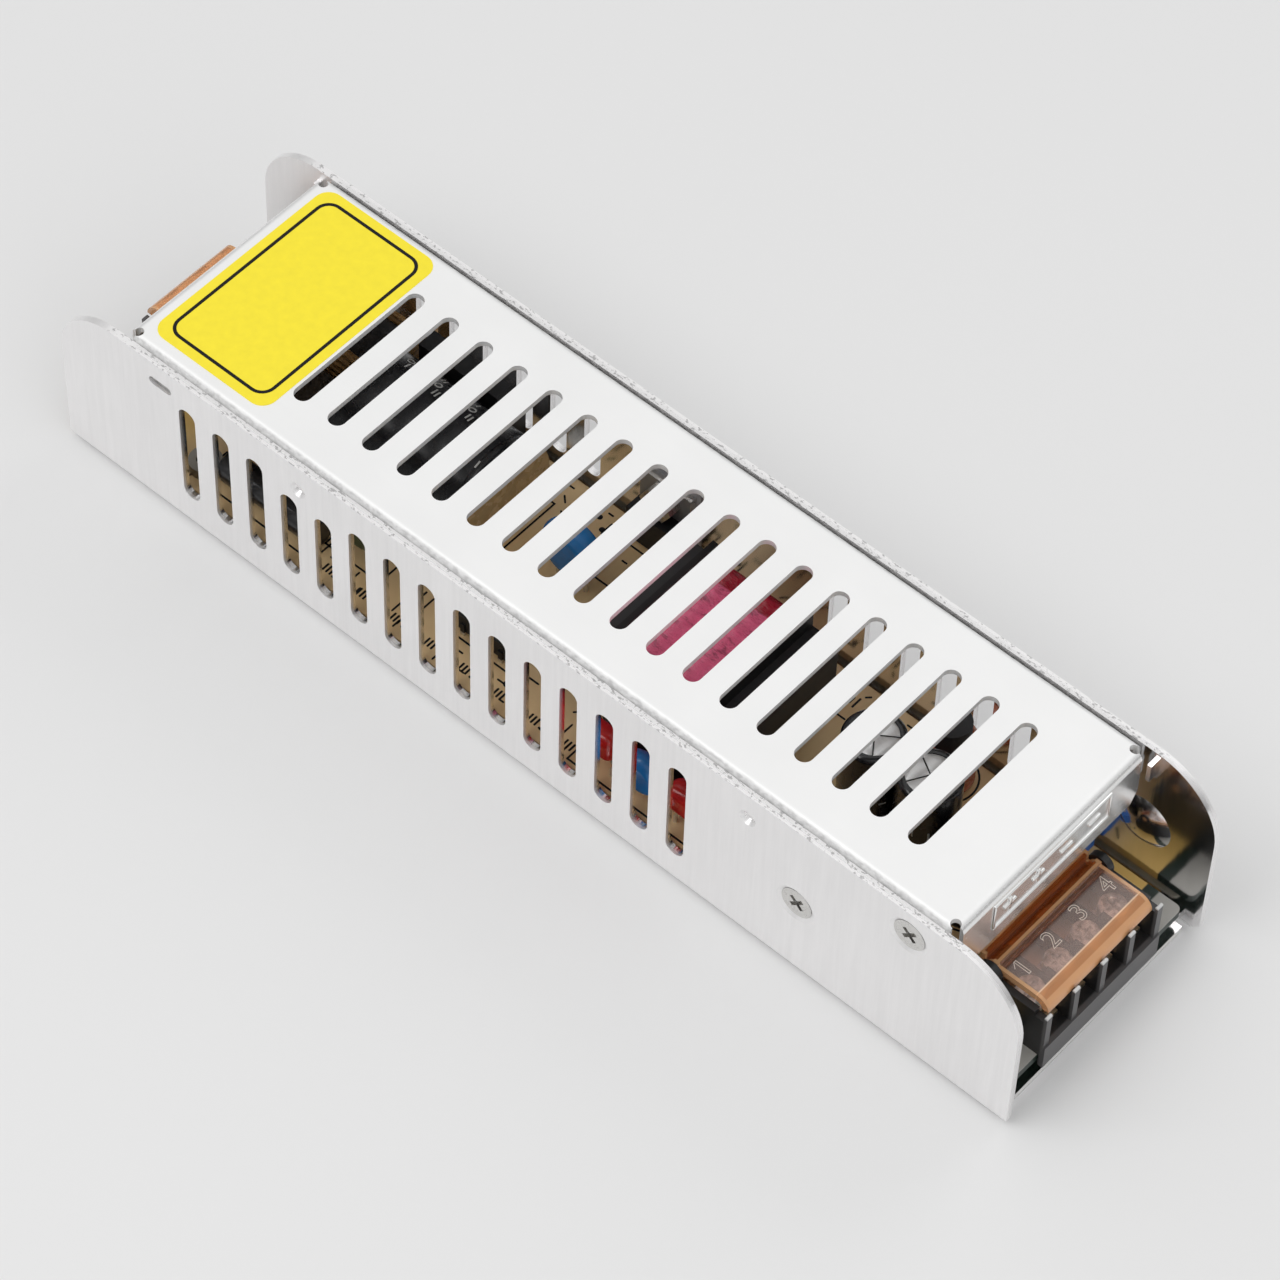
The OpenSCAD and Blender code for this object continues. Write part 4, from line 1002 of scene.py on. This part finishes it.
def print_holes():
    """Dark round discs of ink with softened rims on the board's free places, painted shade that stands in
    for holes.
    """
    hole = start_drum(HOLE_R, PRINT_T, (0.0, 0.0, 0.0), 20)
    soften(hole, PRINT_T / 3, 2)
    # painted shade: black ink discs stand in for the dark of holes through the board
    made = [own_copy(hole, on_board(x * MM, y * MM)) for x, y in HOLE_SPOTS]
    drop(hole)
    return made


def print_bars():
    """Groups of short printed bars, and loose marks with rings along the near edge."""
    bar = start_block((*BAR_SIZE, PRINT_T), (0.0, 0.0, 0.0))
    bevel_uprights(bar, BAR_SIZE[0] / 3, 2)
    made = []
    for x, y, count in BAR_GROUPS:
        for step in range(count):
            place = on_board(x * MM + step * BAR_STEP, y * MM)
            made.append(own_copy(bar, place, 0.0, (1.0, SHORT_BAR if step % 2 else 1.0, 1.0)))
    boxes = board_boxes()
    for step in range(NEAR_PRINT_COUNT):
        middle = NEAR_PRINT_START + step * NEAR_PRINT_STEP
        for along, across, turn in NEAR_MARKS[:4 + 2 * (step % 2)]:
            x = middle + along * MM
            y = NEAR_PRINT_Y + across * MM
            if is_free(boxes, x, y, 0.0):
                made.append(own_copy(bar, on_board(x, y), math.radians(turn), (1.0, NEAR_BAR, 1.0)))
        ring_x = middle + (step % 3 - 1) * MM
        if is_free(boxes, ring_x, NEAR_RING_Y, NEAR_RING_R):
            made.append(print_ring(ring_x, NEAR_RING_Y, NEAR_RING_R))
    drop(bar)
    return made


def make_board_print():
    """Outlines, rings, strokes, bars and holes on the board round its parts."""
    made = print_strokes() + print_holes() + print_bars()
    for node in FRAMED_NODES:
        low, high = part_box(node)
        low_y = max(low.y - PRINT_MARGIN, -PRINT_HALF_W)
        high_y = min(high.y + PRINT_MARGIN, PRINT_HALF_W)
        made.append(print_frame(low.x - PRINT_MARGIN, low_y, high.x + PRINT_MARGIN, high_y))
    for x, y, _ in CAN_TOPS:
        made.append(print_ring(x, y, CAN_RING_R))
    for x, y, radius in OTHER_RINGS:
        made.append(print_ring(x, y, radius))
    printed = join_pieces("board_print", made)
    settle(printed, "case", printed_ink("board_ink", INK_BLACK, INK_GLOSS))


# Print on the can sleeves, in degrees and millimetres: on the upright cans angle, height, width and
# height of the mark, and on the lying can place along it, lean, length and width

SLEEVE_MARK_T = 0.06 * MM
CAN_R = 5.0 * MM
CAN_MARKS = [
    (-92, 14.0, 0.3, 1.6), (-76, 17.0, 0.3, 2.2), (-60, 13.0, 1.4, 0.3), (-48, 16.5, 0.3, 1.8),
    (-30, 14.5, 1.2, 0.3),
]
BULK_BARS = [
    (-50.9, 25, 0.3, 1.5), (-43.4, 16, 0.3, 1.5), (-44.1, 17, 0.3, 1.5), (-45.2, 42, 0.3, 1.4),
    (-45.9, 43, 0.3, 1.4), (-36.4, 15, 0.3, 1.4), (-37.1, 16, 0.3, 1.4), (-38.3, 40, 0.3, 1.3),
    (-29.8, -18, 0.3, 1.3),
]
BULK_RINGS = [(-51.5, 35), (-44.9, 28), (-37.8, 27)]
BULK_RING_R = 0.7 * MM
BULK_RING_LINE = 0.25 * MM


def make_sleeve_marks():
    """Plain pale marks on the sleeves of the cans."""
    low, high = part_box("bulk_capacitor")
    radius = (high.z - low.z) / 2
    axis_y = (low.y + high.y) / 2
    axis_z = (low.z + high.z) / 2
    made = []

    def on_sleeve(x, lean):
        return x * MM, axis_y + radius * math.sin(lean), axis_z + radius * math.cos(lean)

    for x, angle, length, width in BULK_BARS:
        lean = math.radians(angle)
        mark = start_block((length * MM, width * MM, SLEEVE_MARK_T), on_sleeve(x, lean), (-lean, 0.0, 0.0))
        soften(mark, SLEEVE_MARK_T / 3, 2)
        made.append(mark)
    for x, angle in BULK_RINGS:
        lean = math.radians(angle)
        ring = start_drum(BULK_RING_R, SLEEVE_MARK_T, (0.0, 0.0, 0.0), 32)
        cut_middle(ring, BULK_RING_LINE)
        ring.location = on_sleeve(x, lean)
        ring.rotation_euler = (-lean, 0.0, 0.0)
        apply_place(ring)
        made.append(ring)
    for x, y, _ in CAN_TOPS:
        for angle, z, width, height in CAN_MARKS:
            turn = math.radians(angle)
            place = (x + CAN_R * math.cos(turn), y + CAN_R * math.sin(turn), z * MM)
            mark = start_block((SLEEVE_MARK_T, width * MM, height * MM), place, (0.0, 0.0, turn))
            soften(mark, SLEEVE_MARK_T / 3, 2)
            made.append(mark)
    marks = join_pieces("sleeve_marks", made)
    settle(marks, "case", printed_ink("sleeve_ink", SLEEVE_PRINT))


# Red dipped capacitors by the near wall: a lead's steps, across and up, are listed in millimetres

DIPPED_LOW, DIPPED_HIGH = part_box("film_capacitors")
DIPPED_X = [DIPPED_LOW.x + 3.7 * MM, DIPPED_HIGH.x - 3.7 * MM]
DIPPED_Y = (DIPPED_LOW.y + DIPPED_HIGH.y) / 2
DIPPED_Z = DIPPED_HIGH.z - 2.75 * MM
DIPPED_SIZE = (7.2 * MM, 3.8 * MM, 5.4 * MM)
DIPPED_ROUND = 1.5 * MM
LEAD_R = 0.32 * MM
LEAD_SPREAD = 2.5 * MM
LEAD_STEPS = [(0.0, 1.4), (0.5, 1.2), (-0.5, 1.2), (0.0, 1.0)]


def bent_lead(x, y):
    """Lead with a kink, drawn up from the board step by step."""
    deselect()
    foot = (x, y, BOARD_TOP)
    bpy.ops.mesh.primitive_circle_add(vertices=12, radius=LEAD_R, fill_type="NGON", location=foot)
    lead = bpy.context.object
    apply_place(lead)
    choose(lead, "FACE", level)
    for across, rise in LEAD_STEPS:
        bpy.ops.mesh.extrude_region_move(TRANSFORM_OT_translate={"value": (across * MM, 0.0, rise * MM)})
    bpy.ops.mesh.select_all(action="SELECT")
    bpy.ops.mesh.normals_make_consistent(inside=False)
    bpy.ops.object.mode_set(mode="OBJECT")
    bpy.ops.object.shade_smooth_by_angle(angle=ROUND_SMOOTH)
    return lead


def make_dipped_capacitors():
    """Two round-cornered red capacitors on bent leads."""
    bodies = []
    leads = []
    for x in DIPPED_X:
        body = start_block(DIPPED_SIZE, (x, DIPPED_Y, DIPPED_Z))
        soften(body, DIPPED_ROUND, 6)
        bodies.append(body)
        for side in (-1, 1):
            leads.append(bent_lead(x + side * LEAD_SPREAD, DIPPED_Y))
    red = join_pieces("red_capacitor_bodies", bodies)
    settle(red, "case", FINISHES["red_coating"])
    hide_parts("film_capacitors")
    wires = join_pieces("red_capacitor_leads", leads)
    settle(wires, "case", bright_metal("tinned_lead", TIN_GREY, 0.3))


# Glue that holds the tall parts: places and half sizes are listed in millimetres

GLUE_SPOTS = [
    (-31.0, 16.4, 5.3, (3.2, 2.4, 1.4)), (-33.0, -5.6, 5.4, (6.0, 2.6, 2.6)),
    (51.8, 2.5, 5.6, (2.2, 5.4, 3.0)), (62.2, 2.0, 5.6, (2.2, 5.0, 2.6)),
]
GLUE_LUMP = 0.9 * MM
GLUE_LUMP_SIZE = 3.5 * MM


def make_glue():
    """Whitish beads of glue at the feet of the tall parts."""
    lumps = bpy.data.textures.new("glue_lumps", "CLOUDS")
    lumps.noise_scale = GLUE_LUMP_SIZE
    made = []
    for x, y, z, size in GLUE_SPOTS:
        deselect()
        bpy.ops.mesh.primitive_ico_sphere_add(subdivisions=4, radius=1.0, location=(x * MM, y * MM, z * MM))
        bead = bpy.context.object
        bead.scale = [side * MM for side in size]
        apply_place(bead)
        displace = bead.modifiers.new("lumps", "DISPLACE")
        displace.texture = lumps
        displace.texture_coords = "GLOBAL"
        displace.strength = GLUE_LUMP
        bpy.ops.object.modifier_apply(modifier=displace.name)
        bpy.ops.object.mode_set(mode="EDIT")
        bpy.ops.mesh.select_all(action="SELECT")
        foot = (0, 0, BOARD_TOP)
        bpy.ops.mesh.bisect(plane_co=foot, plane_no=(0, 0, -1), use_fill=True, clear_outer=True)
        bpy.ops.object.mode_set(mode="OBJECT")
        bpy.ops.object.shade_smooth_by_angle(angle=ROUND_SMOOTH)
        made.append(bead)
    glue = join_pieces("glue_beads", made)
    settle(glue, "case", glossy_coat("glue_skin", GLUE_WHITE, 0.35))


# Stage, light and camera: a softbox has a place, a point that it aims at, a size and watts

SKY_LOW = 0.30
SKY_HIGH = 0.88
SOFTBOXES = [
    ("key", (-0.25, -0.55, 0.95), (0.0, 0.0, 0.02), 0.7, 3.5),
    ("fill", (0.75, -0.35, 0.50), (0.03, 0.0, 0.02), 0.6, 0.9),
    ("back", (0.10, 0.80, 0.60), (0.0, 0.0, 0.02), 0.6, 1.0),
]


def make_stage():
    """Plain pale floor."""
    deselect()
    bpy.ops.mesh.primitive_plane_add(size=FLOOR_SIZE, location=(0, 0, -FLOOR_GAP))
    floor = bpy.context.object
    floor.name = "floor"
    floor.data.materials.append(plain_finish("pale_floor", FLOOR_PALE, 0.6))


def add_softbox(name, place, aim, size, watts):
    """Square lamp at a place, turned to a point that it aims at."""
    deselect()
    bpy.ops.object.light_add(type="AREA", location=place)
    lamp = bpy.context.object
    lamp.name = name
    lamp.data.shape = "SQUARE"
    lamp.data.size = size
    lamp.data.energy = watts
    lamp.rotation_euler = (Vector(aim) - Vector(place)).to_track_quat("-Z", "Y").to_euler()


def make_light():
    """Soft sky, brighter overhead, with three softboxes."""
    world = bpy.data.worlds.new("studio")
    bpy.context.scene.world = world
    world.use_nodes = True
    sky = world.node_tree.nodes["Background"]
    sky.inputs["Color"].default_value = (1.0, 1.0, 1.0, 1.0)
    height = add_node(world, "ShaderNodeSeparateXYZ")
    join_sockets(world, add_node(world, "ShaderNodeTexCoord").outputs["Generated"], height.inputs["Vector"])
    join_sockets(world, spread(world, height.outputs["Z"], SKY_LOW, SKY_HIGH), sky.inputs["Strength"])
    for softbox in SOFTBOXES:
        add_softbox(*softbox)


def make_camera():
    """Camera at the photograph's viewing angle."""
    deselect()
    bpy.ops.object.camera_add(location=CAMERA_PLACE)
    camera = bpy.context.object
    camera.rotation_euler = [math.radians(turn) for turn in CAMERA_TURN]
    camera.data.sensor_width = CAMERA_SENSOR
    camera.data.lens = CAMERA_LENS
    camera.data.clip_start, camera.data.clip_end = CAMERA_CLIP
    bpy.context.scene.camera = camera


dress_nodes()
make_sticker()
make_numerals()
make_polarity_marks()
make_can_tops()
make_board_print()
make_sleeve_marks()
make_dipped_capacitors()
make_glue()
make_stage()
make_light()
make_camera()
bpy.context.scene.view_settings.view_transform = "Standard"
